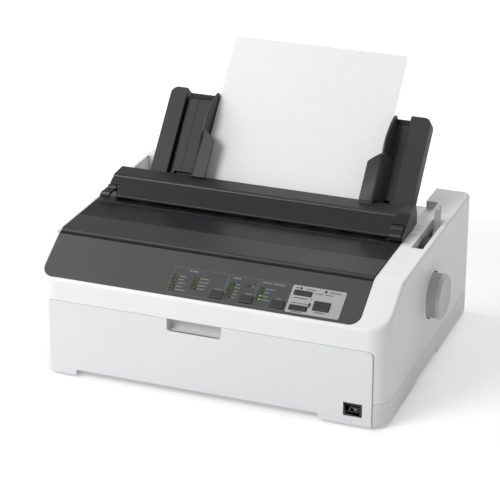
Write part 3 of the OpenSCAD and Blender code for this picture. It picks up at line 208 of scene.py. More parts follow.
def moulded(name, light, dark, roughness, grain_mm=0.6, depth=0.15, ior=1.53, gleam=0.5):
    """Injection-moulded ABS: a fine tool grain, a slow drift of tone and slightly uneven gloss."""
    material, tree, shader = finish(name, light, roughness, IOR=ior, Specular_IOR_Level=gleam)
    place = add(tree, "ShaderNodeTexCoord", {}).outputs["Object"]
    # the real grain is 0.1 to 0.2 mm, drawn three times coarser so that it shows
    grain = add(tree, "ShaderNodeTexNoise", {"Scale": 1000 / grain_mm, "Detail": 2.0}, {"Vector": place})
    drift = add(tree, "ShaderNodeTexNoise", {"Scale": 12.0, "Detail": 3.0}, {"Vector": place})
    tone = add(tree, "ShaderNodeMix", {"data_type": "RGBA", 6: ink(light), 7: ink(dark)}, {0: drift.outputs["Fac"]})
    gloss = add(tree, "ShaderNodeMapRange", {"From Min": 0.3, "From Max": 0.7, "To Min": roughness - 0.05,
                                             "To Max": roughness + 0.06}, {"Value": grain.outputs["Fac"]})
    bump = add(tree, "ShaderNodeBump", {"Strength": depth, "Distance": 0.0001}, {"Height": grain.outputs["Fac"]})
    tree.links.new(tone.outputs[2], shader.inputs["Base Color"])
    tree.links.new(gloss.outputs["Result"], shader.inputs["Roughness"])
    tree.links.new(bump.outputs["Normal"], shader.inputs["Normal"])
    return material


def dress(piece, material, body, slot, *stands_for):
    """Give a piece its finish and the body it rides on, and hide the CAD nodes it stands for."""
    piece.data.materials.clear()
    piece.data.materials.append(material)
    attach(piece, body)
    if stands_for:
        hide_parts(*stands_for)
    return piece


# lower mouldings are a shade cooler than the tops
cool_white_abs = moulded("moulded_cool_white_abs", "#E9E9EB", "#E4E5E7", 0.45)

half_w, half_d, wall = 206.0, 165.0, 2.5
front, rear = -half_d, half_d


def case_plan(inset):
    return rounded([(-half_w + inset, front + inset, 24 - inset), (half_w - inset, front + inset, 24 - inset),
                    (half_w - inset, rear - inset, 10 - inset), (-half_w + inset, rear - inset, 10 - inset)], 10)


tub = drawn("base_tub", case_plan(0), 3, 30.85, "Z")
round_edges(tub, lambda m, d, n: m.z < 3.1, 2.0)
cut(tub,
    drawn("hollow", case_plan(wall), 10.5, 40, "Z"),
    block("between_legs", -151, front - 1, 2, 122, rear + 1, 8),
    block("hand_hold", -half_w - 1, front + 115, 2, half_w + 1, front + 203, 7.5),
    block("under_floor", -198, front + 40, 2, 198, rear - 36, 8),
    block("cover_place", -191, front - 1, 2, 191, front + 3.4, 32),
    block("cover_middle", -159, front - 1, 2, 130, front + 14, 8),
    block("connector_bay", -144, rear - 3.5, 16, -44, rear + 1, 32))
front_wall = block("front_wall", -193.5, front + 3.4, 8, 193.5, front + 5.9, 30.85)
cut(front_wall, block("switch_way", 158.7, front, 13.9, 179.8, front + 10, 29.8))
fuse(tub, front_wall)
soften(tub, 0.35)
dress(tub, cool_white_abs, "printer_case", "case_white", "lower_case")

# ---------------------------------------------------------------------------
# Feet: moulded nitrile rubber pads pressed into the underside of the base,
# one at each corner and one under the middle. The rubber is matt and picks up
# a little grey dust round its lower edge.
# ---------------------------------------------------------------------------


def rod(name, low, high, a, b, radius, along="X", sides=48):
    """A round bar along one axis; a and b place it on the other two."""
    let_go()
    middle = {"X": ((low + high) / 2, a, b), "Y": (a, (low + high) / 2, b), "Z": (a, b, (low + high) / 2)}[along]
    lie = {"X": (0, math.pi / 2, 0), "Y": (-math.pi / 2, 0, 0), "Z": (0, 0, 0)}[along]
    bpy.ops.mesh.primitive_cylinder_add(vertices=sides, radius=radius * MM, depth=(high - low) * MM,
                                        location=Vector(middle) * MM, rotation=lie)
    piece = bpy.context.object
    piece.name = name
    bpy.ops.object.transform_apply(location=True, rotation=True, scale=True)
    return piece


def gather(piece, *others):
    """Join shapes that only touch into one object."""
    take(piece)
    for other in others:
        other.select_set(True)
    bpy.ops.object.join()
    return piece


foot_rubber, tree, shader = finish("nitrile_rubber", "#232324", 0.82, IOR=1.52)
place = add(tree, "ShaderNodeTexCoord", {}).outputs["Object"]
height = add(tree, "ShaderNodeSeparateXYZ", {}, {0: place}).outputs["Z"]
dust = add(tree, "ShaderNodeMapRange", {"From Min": 0.0, "From Max": 0.002, "To Min": 0.6, "To Max": 0.0}, {"Value": height})
tint = add(tree, "ShaderNodeMix", {"data_type": "RGBA", 6: ink("#232324"), 7: ink("#4A4845")}, {0: dust.outputs["Result"]})
tree.links.new(tint.outputs[2], shader.inputs["Base Color"])
speckle = add(tree, "ShaderNodeTexNoise", {"Scale": 1400.0, "Detail": 2.0}, {"Vector": place})
bump = add(tree, "ShaderNodeBump", {"Strength": 0.3, "Distance": 0.0001}, {"Height": speckle.outputs["Fac"]})
tree.links.new(bump.outputs["Normal"], shader.inputs["Normal"])

pads = []
for x, y, top in [(-181, -135, 3), (181, -135, 3), (-181, 141, 3), (181, 141, 3), (0, 0, 8)]:
    pad = rod("pad", 0, top, x, y, 8, "Z", 40)
    cut(pad, rod("dimple", -1, 0.8, x, y, 3.5, "Z", 24))
    round_edges(pad, lambda m, d, n: m.z < 0.1 and (m.x - x) ** 2 + (m.y - y) ** 2 > 49, 0.7)
    pads.append(pad)
feet = gather(*pads)
feet.name = "rubber_feet_detailed"
soften(feet, 0)
dress(feet, foot_rubber, "printer_case", "feet_rubber", "rubber_feet")

# ---------------------------------------------------------------------------
# The upper case: one large white ABS moulding that forms the sides, the
# sloped brow, the right shoulder with the lever's slot and the low rear deck.
# Its outer edges are generously rounded; inside it stays thin and plain.
# ---------------------------------------------------------------------------

white_abs = moulded("moulded_white_abs", "#F2F2F3", "#EDEDEF", 0.42)

shoulder, part_line = 155.0, 31.0
deck_l, deck_r = -199.9, 172.7
deck_y, deck_z, knee_y, knee_z = front + 3.2, 120.7, front + 58, 154.0
slope = math.atan2(knee_z - deck_z, knee_y - deck_y)
slope_length = math.hypot(knee_z - deck_z, knee_y - deck_y)


def shell_blank(name, inset, bottom):
    """The case's outside, or its inside when inset: a tall block with the top and the brow sliced off."""
    piece = drawn(name, case_plan(inset), bottom, 170, "Z")
    top = (0, -1 / 268, 1)
    brow = (0, -math.sin(slope), math.cos(slope))
    for spot, normal in (((0, knee_y, knee_z), top), ((0, deck_y, deck_z), brow)):
        away = Vector(normal).normalized()
        take(piece)
        bpy.ops.object.mode_set(mode="EDIT")
        bpy.ops.mesh.select_all(action="SELECT")
        bpy.ops.mesh.bisect(plane_co=(Vector(spot) - away * inset) * MM, plane_no=away, use_fill=True, clear_outer=True)
        bpy.ops.object.mode_set(mode="OBJECT")
    return piece


def on_slope(piece):
    """Set a piece drawn flat on to the sloped brow: X across, Y up the slope, Z out of it."""
    take(piece)
    piece.rotation_euler = (slope, 0, 0)
    piece.location = Vector((0, deck_y, deck_z)) * MM
    bpy.ops.object.transform_apply(location=True, rotation=True, scale=True)
    return piece


def plate(name, x0, y0, x1, y1, low, high, radii=(0, 0, 0, 0), steps=6):
    """A flat plate with its own radius at each corner, from lower left round to upper left."""
    corners = [(x0, y0, radii[0]), (x1, y0, radii[1]), (x1, y1, radii[2]), (x0, y1, radii[3])]
    return drawn(name, rounded(corners, steps), low, high, "Z")


shell = shell_blank("upper_shell", 0, 31.15)
round_edges(shell, lambda m, d, n: (max(s.z for s in n) > 0.6 and min(abs(s.z) for s in n) < 0.2), 3.7, 5)
round_edges(shell, lambda m, d, n: abs(d.x) > 0.99 and abs(m.y - knee_y) < 4 and m.z > 150
            and n[0].angle(n[1]) > 0.2, 6.0, 5)
skirt = shoulder - 36
notch = (front + 222, front + 285)
slot = (186.0, front + 149, 199.2, front + 236)
cut(shell,
    shell_blank("inside", wall, 28),
    on_slope(plate("brow_opening", deck_l, 0, deck_r, slope_length + 2, -14, 14, (14, 14, 0, 0), 10)),
    block("open_deck", deck_l, knee_y - 1, skirt - 20, deck_r, 100, 160),
    block("guide_well", deck_l, 99, skirt, 163.7, 141, 160),
    block("rear_well", -169.9, 140, skirt, 163.7, rear - wall - 0.5, 160),
    block("low_rear", -169.9, 141, 128, 163.7, rear + 1, 160),
    plate("lever_slot", slot[0], slot[1], slot[2], slot[3], shoulder - 12, 160, (0.8, 0.8, 1.5, 1.5)),
    rod("knob_hole", half_w - 4, half_w + 1, front + 167, 92, 27.5, "X", 96),
    drawn("cover_place", rounded([(-191, 30), (191, 30), (191, 94.1, 6.5), (-191, 94.1, 6.5)]), front - 1, front + 3.4, "Y"),
    block("feed_way", -182.5, front - 1, 35, 182.5, front + 20, 88.6),
    block("rear_mouth", -137, rear - 3.5, 97, 148, rear + 1, 125),
    block("connector_bay", -144, rear - 3.5, 30, -44, rear + 1, 43),
    block("inlet_hole", 94, rear - 3.5, 36, 122, rear + 1, 57))
work(shell, "BEVEL", width=0.35 * MM, segments=2, limit_method="ANGLE", angle_limit=math.radians(32),
     use_clamp_overlap=False, miter_outer="MITER_ARC")
cut(shell, plate("notch", deck_r - 9.2, notch[0], 178, notch[1], shoulder - 9, 160, (0, 2, 2, 0)))
beams = [
    block("left_skirt", -203.6, knee_y + 4, skirt, deck_l - 0.04, rear - 11, shoulder - wall),
    block("right_skirt", deck_r + 0.04, knee_y + 4, skirt, deck_r + wall, notch[0], shoulder - wall),
    block("low_skirt", deck_r + 0.04, notch[0] - 0.1, skirt, deck_r + wall, 100, shoulder - 11.4),
    block("low_cheek", 163.74, 100, 125.5, 166.2, notch[1] + 0.1, shoulder - 11.4),
    block("cheek", 163.74, notch[1], 125.5, 166.2, rear - wall, shoulder - wall),
    block("notch_back", 163.76, notch[1] + 0.04, 125.5, 179.8, notch[1] + wall, shoulder - wall),
    block("block_front", deck_l - 0.2, 141, 125.5, -169.9, 143.5, shoulder - wall),
    block("block_side", -172.4, 141, 125.5, -169.9, rear - wall, shoulder - wall),
    block("rear_deck", deck_l - 0.2, 100, 125.5, 166.2, rear - wall, 128),
]
tray = block("notch_tray", 163.7, notch[0] - 1.8, 143.5, 179.8, notch[1] + 1.8, shoulder - wall)
cut(tray, plate("tray_way", 162, notch[0], 178, notch[1], 146, 160, (0, 2, 2, 0)),
    block("tray_mouth", 162, notch[0] - 3, 146, deck_r, notch[0] + 2, 160))
beams.append(tray)
slot_wall = block("slot_wall", slot[0] - 1.6, slot[1] - 1.6, shoulder - 14, slot[2] + 1.6, slot[3] + 1.6, shoulder - wall)
cut(slot_wall, block("slot_way", slot[0], slot[1], shoulder - 15, slot[2], slot[3], shoulder + 1))
inner_front = block("inner_front", -193.5, front + 3.4, 31.15, 193.5, front + 5.9, 115)
cut(inner_front, block("feed_way", -182.5, front, 35, 182.5, front + 20, 88.6),
    block("pocket_way", -48.5, front - 1, 77.1, 19.5, front + 16, 95.6))
for beam in beams[:2]:
    cut(beam, rod("pin_way", -210, 210, front + 147.5, 148.5, 2.25, "X", 32))
for beam in (*beams, slot_wall, inner_front):
    soften(beam, 0)
collar = rod("knob_collar", half_w - 0.4, half_w + 1.6, front + 167, 92, 29.4, "X", 128)
cut(collar, rod("collar_way", half_w - 1, half_w + 3, front + 167, 92, 27.5, "X", 128))
round_edges(collar, lambda m, d, n: m.x > half_w + 1.5, 0.6)
soften(shell, 0, shade=20)
soften(collar, 0)
gather(shell, collar, *beams, slot_wall, inner_front)
dress(shell, white_abs, "printer_case", "case_white", "upper_case")

# ---------------------------------------------------------------------------
# Front cover: a white ABS panel that pulls off to feed fan-fold paper from the
# front. It has a scooped finger pull in its top edge, two feet below, a hole
# for the power switch, and ribs behind that grip the case.
# ---------------------------------------------------------------------------

cover = drawn("front_cover_panel", rounded([
    (-190.5, 3.4), (-159, 3.4, 1), (-159, 10.4, 2), (130, 10.4, 2), (130, 3.4, 1), (190.5, 3.4),
    (190.5, 93.6, 6), (-190.5, 93.6, 6)]), front, front + 3, "Y")
cut(cover, drawn("pull", rounded([(-46.5, 79.1, 3), (17.5, 79.1, 3), (17.5, 96), (-46.5, 96)]), front - 1, front + 4, "Y"),
    block("switch_hole", 158.5, front - 1, 13.7, 180, front + 4, 30))
round_edges(cover, lambda m, d, n: m.y < front + 0.01 and not (157 < m.x < 181 and 13 < m.z < 31), 0.7)
# the scoop's section: y from the face, z up; its floor curls up into the back wall
scoop = drawn("scoop", rounded([(front + 1, 77.1), (front + 16, 77.1, 8), (front + 16, 93), (front + 14, 93),
                                (front + 14, 79.1, 7.2), (front + 1, 79.1)], 8), -48.5, 19.5)
ends = [drawn("scoop_end", rounded([(front + 2.5, 77.1), (front + 16, 77.1, 8), (front + 16, 93), (front + 2.5, 93)]), x, x + 2)
        for x in (-48.5, 17.5)]
ribs = [block("rib", x, front + 2.9, 37, x + 3, front + 10, 85.6) for x in (-176.5, 173.5)]
ribs += [block("rail", x0, front + 2.9, 83.6, x1, front + 8, 85.6) for x0, x1 in ((-176.5, -50.5), (21.5, 176.5))]
soften(cover, 0)
for rib in ribs:
    soften(rib, 0.3)
for end in ends:
    soften(end, 0.2)
soften(scoop, 0.2)
gather(cover, scoop, *ends, *ribs)
dress(cover, cool_white_abs, "front_cover", "case_white", "front_cover")

# ---------------------------------------------------------------------------
# Power switch: a black nylon rocker in a black frame, snapped into the front
# wall. The rocker carries the usual line and ring in white.
# ---------------------------------------------------------------------------

black_nylon = moulded("glass_filled_nylon_black", "#141415", "#1A1A1B", 0.38, 0.8, 0.1, 1.53)
housing = plate("switch_frame", 159, 14.2, 179.5, 29.5, 0, 23.4, (1, 1, 1, 1))
cut(housing, plate("switch_well", 161.7, 16.9, 176.8, 26.8, -1, 17.4))
round_edges(housing, lambda m, d, n: m.z < 0.01, 0.5)
tags = [block("tag", x - 1, z - 0.4, 23, x + 1, z + 0.4, 30.4) for x in (164.5, 174) for z in (18, 25)]
soften(housing, 0)
gather(housing, *tags)


def stand_up(piece, y):
    """Turn a piece drawn flat so that its height points back along +Y and its Y points up."""
    take(piece)
    mesh = piece.data
    mesh.transform(Matrix(((1, 0, 0, 0), (0, 0, 1, y * MM), (0, 1, 0, 0), (0, 0, 0, 1))))
    mesh.flip_normals()
    return piece


stand_up(housing, front + 0.6)
dress(housing, black_nylon, "printer_case", "switch_black", "power_switch_housing")

rocker_x, rocker_y, rocker_z = 169.25, front + 9, 21.85
rocker = drawn("rocker", [(rocker_y + y, rocker_z + z) for y, z in rounded(
    [(-9.4, -3.55, 0.8), (-7.6, 0, 6), (-8.4, 3.55, 0.8), (1, 1.8), (1, -1.8)], 8)], rocker_x - 6.9, rocker_x + 6.9)
round_edges(rocker, lambda m, d, n: abs(d.x) < 0.1 and m.y < rocker_y - 6, 0.4)
pin = rod("rocker_pin", rocker_x - 6.95, rocker_x + 6.95, rocker_y, rocker_z, 2, "X", 24)
soften(rocker, 0)
soften(pin, 0)
gather(rocker, pin)
dress(rocker, black_nylon, "power_rocker", "switch_black", "power_rocker")

mark_white, tree, shader = finish("pad_printed_white_ink", "#D9D9D6", 0.55)
place = add(tree, "ShaderNodeTexCoord", {}).outputs["Object"]
wear = add(tree, "ShaderNodeTexNoise", {"Scale": 900.0, "Detail": 2.0}, {"Vector": place})
thin = add(tree, "ShaderNodeMix", {"data_type": "RGBA", 6: ink("#DEDEDB"), 7: ink("#B9B9B6")}, {0: wear.outputs["Fac"]})
tree.links.new(thin.outputs[2], shader.inputs["Base Color"])
line = block("line_mark", rocker_x - 3.4, rocker_y - 8.95, rocker_z - 0.25, rocker_x - 3.0, rocker_y - 8.2, rocker_z + 1.9)
ring = rod("ring_mark", rocker_y - 8.9, rocker_y - 8.2, rocker_x + 3.1, rocker_z + 0.9, 1.1, "Y", 32)
cut(ring, rod("ring_way", rocker_y - 10, rocker_y, rocker_x + 3.1, rocker_z + 0.9, 0.75, "Y", 32))
gather(line, ring)
soften(line, 0)
dress(line, mark_white, "power_rocker", "switch_black")
# ---------------------------------------------------------------------------
# Control panel: a charcoal ABS plate set into the white brow. Its lower corners
# follow the case, its upper edge rolls over and drops into the groove before
# the lid. Openings are left for the keys, the lamps and the light key plate.
# ---------------------------------------------------------------------------

charcoal_abs = moulded("moulded_charcoal_abs", "#4A4A4C", "#454547", 0.40, 0.7, 0.2)

dark_keys = [(-0.4, 6.3, 15, 9.5), (34.6, 6.3, 15, 9.5), (70.4, 6.3, 15, 9.5)]
plate_keys = [(91.5, 27, 20, 6), (91.5, 7.4, 20, 6.2), (117.4, 11, 18, 11.6)]
windows = ([(-45.5, 9.3 + 4.5 * k) for k in range(5)] + [(-21, 14.4 + 4.5 * k) for k in range(4)]
           + [(20.6, 10.7 + 4.35 * k) for k in range(5)] + [(39.2, 28.3)]
           + [(55, 13.7 + 4.8 * k) for k in range(4)] + [(98, 36.2), (126, 36.2)])
panel_length = slope_length - 4.4

panel = plate("control_panel_plate", deck_l + 0.5, 0.5, deck_r - 0.5, panel_length, -2.6, 0, (14, 14, 0, 0), 12)
lip = block("panel_lip", deck_l + 0.5, panel_length - 2, -9, deck_r - 0.5, panel_length, -2)
fuse(panel, lip)
round_edges(panel, lambda m, d, n: abs(m.z) < 0.01 and m.y > panel_length - 0.1 and abs(d.x) > 0.9, 1.5, 4)
holes = [block("key_way", x - 0.4, y - 0.4, -10, x + w + 0.4, y + h + 0.4, 1) for x, y, w, h in dark_keys + plate_keys]
holes += [block("lamp_way", x - 3, y - 1.4, -10, x + 3, y + 1.4, 1) for x, y in windows]
cut(panel, plate("plate_seat", 88, 3.6, 149.2, 39.6, -0.8, 1, (2, 2, 2, 2)), *holes)
round_edges(panel, lambda m, d, n: abs(m.z) < 0.01 and n[0].angle(n[1]) > 1, 0.3, 2)
soften(panel, 0)
on_slope(panel)
dress(panel, charcoal_abs, "printer_case", "panel_dark", "control_panel")

# ---------------------------------------------------------------------------
# Printed legends: grey ink pad-printed on the panel and, in darker ink, on the
# key plate. Fine frames group the lamps; short bars stand where words would.
# ---------------------------------------------------------------------------


def printed(name, light, dark):
    """Pad-printed ink: thin, matt and a little uneven where the pad lifted."""
    material, tree, shader = finish(name, light, 0.6)
    place = add(tree, "ShaderNodeTexCoord", {}).outputs["Object"]
    wear = add(tree, "ShaderNodeTexNoise", {"Scale": 700.0, "Detail": 2.0}, {"Vector": place})
    thin = add(tree, "ShaderNodeMix", {"data_type": "RGBA", 6: ink(light), 7: ink(dark)}, {0: wear.outputs["Fac"]})
    tree.links.new(thin.outputs[2], shader.inputs["Base Color"])
    return material


grey_ink = printed("pad_printed_grey_ink", "#8E8E90", "#6E6E70")
frame_ink = printed("pad_printed_faint_ink", "#767678", "#626264")
dark_ink = printed("pad_printed_dark_ink", "#4C4C4E", "#626264")


def border(x0, y0, x1, y1, line, low, high, radius):
    """A thin printed frame with rounded corners."""
    ring = plate("frame_line", x0, y0, x1, y1, low, high, (radius,) * 4)
    inner = max(radius - line, 0.1)
    return cut(ring, plate("inner", x0 + line, y0 + line, x1 - line, y1 - line, low - 1, high + 1, (inner,) * 4))


group_lines = [border(x0, 3.8, x1, 39.2, 0.4, -0.02, 0.03, 1.6) for x0, x1 in ((-49.8, 14.0), (15.0, 49.6), (50.6, 86.8))]
group_lines = gather(*group_lines)
group_lines.name = "group_lines"
on_slope(group_lines)
dress(group_lines, frame_ink, "printer_case", "panel_dark")


def bars(name, rows, low, high):
    """Short bars of ink; each row is (x, y, length, height)."""
    parts = [plate("bar", x, y, x + length, y + tall, low, high, (tall * 0.3,) * 4, 2) for x, y, length, tall in rows]
    piece = gather(*parts)
    piece.name = name
    return on_slope(piece)


rows = [(-32, 35.0, 3.2, 1.9), (-27.8, 35.0, 5.4, 1.9), (19, 35.0, 9.5, 1.7), (53, 35.2, 11, 1.5), (66, 35.2, 14, 1.5)]
rows += [(-41.5, 8.7 + 4.5 * k, length, 1.2) for k, length in enumerate((12.5, 7.5, 9.5, 6.5, 8))]
rows += [(-17, 13.8 + 4.5 * k, length, 1.2) for k, length in enumerate((9, 8.5, 11, 10.5))]
rows += [(24.6, 10.1 + 4.35 * k, length, 1.1) for k, length in enumerate((4, 5.5, 4.5, 6, 5))]
rows += [(43.3, 27.8, 3.2, 1.1), (59, 13.1, 9, 1.2), (59, 17.9, 5.5, 1.2), (59, 22.7, 6.5, 1.2), (59, 27.5, 12, 1.2)]
rows += [(2.5, 17.6, 9.5, 0.9), (37.5, 17.6, 9.5, 0.9), (75, 17.6, 6, 0.9)]
legends = bars("panel_legends", rows, -0.02, 0.03)
dress(legends, grey_ink, "printer_case", "panel_dark")

# ---------------------------------------------------------------------------
# Key plate: a satin light-grey ABS inlay in the right half of the panel, with
# dark printed legends and room for three keys.
# ---------------------------------------------------------------------------

grey_abs = moulded("moulded_light_grey_abs", "#B2B2B3", "#ABABAD", 0.36, 0.6, 0.12)
key_plate = plate("key_plate_inlay", 88.2, 3.8, 149, 39.4, -0.8, 0.3, (2, 2, 2, 2))
cut(key_plate, *[block("key_way", x - 0.4, y - 0.4, -10, x + w + 0.4, y + h + 0.4, 1) for x, y, w, h in plate_keys],
    *[plate("lamp_way", x - 1.5, y - 1.5, x + 1.5, y + 1.5, -10, 1, (1.4,) * 4) for x, y in windows[-2:]])
round_edges(key_plate, lambda m, d, n: abs(m.z - 0.3) < 0.01 and n[0].angle(n[1]) > 1, 0.22, 2)
soften(key_plate, 0)
on_slope(key_plate)
dress(key_plate, grey_abs, "printer_case", "key_plate_grey", "key_plate")

rows = [(92, 35.2, 4, 1.5), (103, 35.4, 12, 1.1), (130, 35.4, 14, 1.1), (115, 31.6, 9, 1.0), (126.5, 31.6, 9, 1.0),
        (91.5, 16.2, 20, 0.9), (93, 22.6, 15, 1.1), (94, 4.9, 13, 1.1), (121, 7.9, 11, 1.1), (112.6, 22.5, 0.7, 2.2),
        (112.6, 13.5, 0.7, 5.5)]
plate_legends = bars("plate_legends", rows, 0.28, 0.33)
dress(plate_legends, dark_ink, "printer_case", "key_plate_grey")

# ---------------------------------------------------------------------------
# Keys: six moulded caps on dome switches. Each has a flat top with rounded edges, a thin
# flange under the panel and a stem that presses the switch.
# ---------------------------------------------------------------------------

key_abs = moulded("moulded_key_abs", "#333335", "#38383A", 0.34, 0.5, 0.1)


def key(name, place, top):
    """A cap with rounded corners and rounded top edges."""
    x, y, w, h = place
    cap = plate(name, x, y, x + w, y + h, -4, top, (0.8,) * 4, 4)
    take(cap)
    round_edges(cap, lambda m, d, n: m.z > top - 0.01, 0.55, 4)
    flange = block("flange", x - 1.2, y - 1.2, -5.2, x + w + 1.2, y + h + 1.2, -4)
    stem = block("stem", x + w / 2 - 1.5, y + h / 2 - 1.5, -7, x + w / 2 + 1.5, y + h / 2 + 1.5, -5.2)
    soften(cap, 0)
    gather(cap, flange, stem)
    return on_slope(cap)


for name, place in zip(("font", "pitch", "tear_off"), dark_keys):
    dress(key(name + "_key", place, 1.2), key_abs, name + "_button", "key_dark", name + "_button")
for name, place in zip(("load", "feed", "pause"), plate_keys):
    dress(key(name + "_key", place, 1.6), key_abs, name + "_button", "key_light", name + "_button")

# ---------------------------------------------------------------------------
# Lamps: dark green acrylic light pipes, flush with the panel, each with three
# small squares that show which choice is on. Two round ones sit on the plate.
# ---------------------------------------------------------------------------

lens, tree, shader = finish("tinted_acrylic_lens", "#20291A", 0.18, IOR=1.49)
place = add(tree, "ShaderNodeTexCoord", {}).outputs["Object"]
haze = add(tree, "ShaderNodeTexNoise", {"Scale": 500.0}, {"Vector": place})
tint = add(tree, "ShaderNodeMix", {"data_type": "RGBA", 6: ink("#1C2617"), 7: ink("#2A3620")}, {0: haze.outputs["Fac"]})
tree.links.new(tint.outputs[2], shader.inputs["Base Color"])


def glowing(name, colour, deep, strength):
    """A lit or unlit indicator square behind the lens, its tone a little uneven."""
    material, tree, shader = finish(name, colour, 0.3, Emission_Strength=strength)
    place = add(tree, "ShaderNodeTexCoord", {}).outputs["Object"]
    uneven = add(tree, "ShaderNodeTexNoise", {"Scale": 900.0}, {"Vector": place})
    tint = add(tree, "ShaderNodeMix", {"data_type": "RGBA", 6: ink(colour), 7: ink(deep)}, {0: uneven.outputs["Fac"]})
    tree.links.new(tint.outputs[2], shader.inputs["Base Color"])
    shader.inputs["Emission Color"].default_value = ink(colour)
    return material


lit_green = glowing("lit_green_indicator", "#8FCB1E", "#6FA81A", 0.25)
unlit_green = glowing("unlit_green_indicator", "#5B7F2A", "#486820", 0.0)

pipes = [plate("pipe", x - 2.8, y - 1.2, x + 2.8, y + 1.2, -8, -0.1, (0.5,) * 4, 3) for x, y in windows[:-2]]
pipes += [plate("pipe", x - 1.35, y - 1.35, x + 1.35, y + 1.35, -8, 0.1, (1.3,) * 4, 6) for x, y in windows[-2:]]
for pipe in pipes:
    round_edges(pipe, lambda m, d, n: m.z > -0.2, 0.2, 2)
lamps = gather(*pipes)
lamps.name = "lamp_pipes"
soften(lamps, 0)
on_slope(lamps)
dress(lamps, lens, "printer_case", "lamp_green", "status_lamps")

# which of the three squares show bright in each window, as two or three printed dots do
bright, dim = [], []
for i, (x, y) in enumerate(windows[:-2]):
    for k, dx in enumerate((-1.6, 0.2, 1.8)):
        chosen = bright if (i in (15, 16) and k != 0) else dim
        if (i + k) % 4 != 3:
            size = 0.62 if chosen is dim else 0.8
            chosen.append(plate("square", x + dx - size, y - 0.65, x + dx + size, y + 0.65, -0.12, -0.06, (0.2,) * 4, 2))
for name, squares, material in (("bright_squares", bright, lit_green), ("dim_squares", dim, unlit_green)):
    squares = gather(*squares)
    squares.name = name
    on_slope(squares)
    dress(squares, material, "printer_case", "lamp_green")
# ---------------------------------------------------------------------------
# Printer cover: a charcoal ABS lid over the print head, hinged at its back. The
# front edge rolls down into the groove; its rear half is a flush smoked window.
# ---------------------------------------------------------------------------

lid_abs = moulded("moulded_lid_abs", "#39393B", "#353537", 0.40, 0.7, 0.18, gleam=0.28)

lid_top, lid_back, lid_front = 155.6, front + 151.5, knee_y + 1
lid_l, lid_r, window_y = deck_l + 0.8, deck_r - 0.8, front + 103
lid = drawn("lid_panel", rounded([
    (lid_front - 1.4, lid_top - 9), (lid_front + 0.8, lid_top - 9), (lid_front + 0.8, lid_top - 3.4, 1.5), (lid_front + 3, lid_top - 2.2),
    (lid_back - 2, lid_top - 2.2, 0.6), (lid_back - 2, lid_top - 6), (lid_back, lid_top - 6),
    (lid_back, lid_top, 0.8), (lid_front - 1.4, lid_top, 3.6)], 6), lid_l, lid_r)
sides = [block("lid_side", x, lid_front + 0.5, lid_top - 9, x + 2, lid_back - 1, lid_top - 2.1) for x in (lid_l, lid_r - 2)]
fuse(lid, *sides)
cut(lid, plate("window_seat", lid_l - 1, window_y, lid_r + 1, lid_back - 4, lid_top - 1, lid_top + 1),
    plate("window_way", lid_l + 6, window_y + 5, lid_r - 6, lid_back - 9, lid_top - 4, lid_top + 1, (4,) * 4))
round_edges(lid, lambda m, d, n: abs(d.y) < 0.99 and (m.x < lid_l + 0.01 or m.x > lid_r - 0.01) and m.z > lid_top - 2, 0.6, 2)
hinge_pins = [rod("hinge_pin", x0, x1, lid_back - 4, 148.5, 2.2, "X", 32) for x0, x1 in ((lid_l - 3.2, lid_l + 2), (lid_r - 2, lid_r + 3.2))]
for pin in hinge_pins:
    soften(pin, 0)
soften(lid, 0)
gather(lid, *hinge_pins)
dress(lid, lid_abs, "printer_cover", "panel_dark", "printer_cover")

# smoked acrylic, cast smooth: dark and glossy, drawn opaque
smoked, tree, shader = finish("smoked_acrylic", "#232324", 0.22, IOR=1.49, Specular_IOR_Level=0.14)
place = add(tree, "ShaderNodeTexCoord", {}).outputs["Object"]
ripple = add(tree, "ShaderNodeTexNoise", {"Scale": 9.0, "Detail": 1.0}, {"Vector": place})
scuffs = add(tree, "ShaderNodeTexNoise", {"Scale": 260.0, "Detail": 4.0}, {"Vector": place})
gloss = add(tree, "ShaderNodeMapRange", {"From Min": 0.35, "From Max": 0.7, "To Min": 0.2, "To Max": 0.27}, {"Value": scuffs.outputs["Fac"]})
bump = add(tree, "ShaderNodeBump", {"Strength": 0.02, "Distance": 0.0002}, {"Height": ripple.outputs["Fac"]})
tint = add(tree, "ShaderNodeMix", {"data_type": "RGBA", 6: ink("#29292B"), 7: ink("#252527")}, {0: ripple.outputs["Fac"]})
tree.links.new(tint.outputs[2], shader.inputs["Base Color"])
tree.links.new(gloss.outputs["Result"], shader.inputs["Roughness"])
tree.links.new(bump.outputs["Normal"], shader.inputs["Normal"])
window = plate("smoked_window", lid_l + 0.2, window_y + 0.2, lid_r - 0.2, lid_back - 4.2, lid_top - 1, lid_top, (0.6,) * 4)
round_edges(window, lambda m, d, n: m.z > lid_top - 0.01, 0.25, 2)
soften(window, 0)
dress(window, smoked, "printer_cover", "window_smoked", "cover_window")

# ---------------------------------------------------------------------------
# Tension unit: a long charcoal hood that snaps over the platen. Under its ridge
# a shaft of eight grey rollers holds the sheet to the platen; a raised cap ends
# it on the right, and a sprung tab at each end releases it.
# ---------------------------------------------------------------------------

hood_abs = moulded("moulded_hood_abs", "#29292B", "#252527", 0.36, 0.7, 0.16, gleam=0.38)
hood_l, hood_r, wall_x, run = deck_l + 10, deck_r - 15.4, deck_l + 23.6, 154
tab_y, tab_z = front + run + 11.5, shoulder + 11.5


def section(points, steps=5):
    """An outline given from the front face and the shoulder, as on the drawing of the hood."""
    return rounded([(front + p[0], shoulder + p[1], *p[2:]) for p in points], steps)


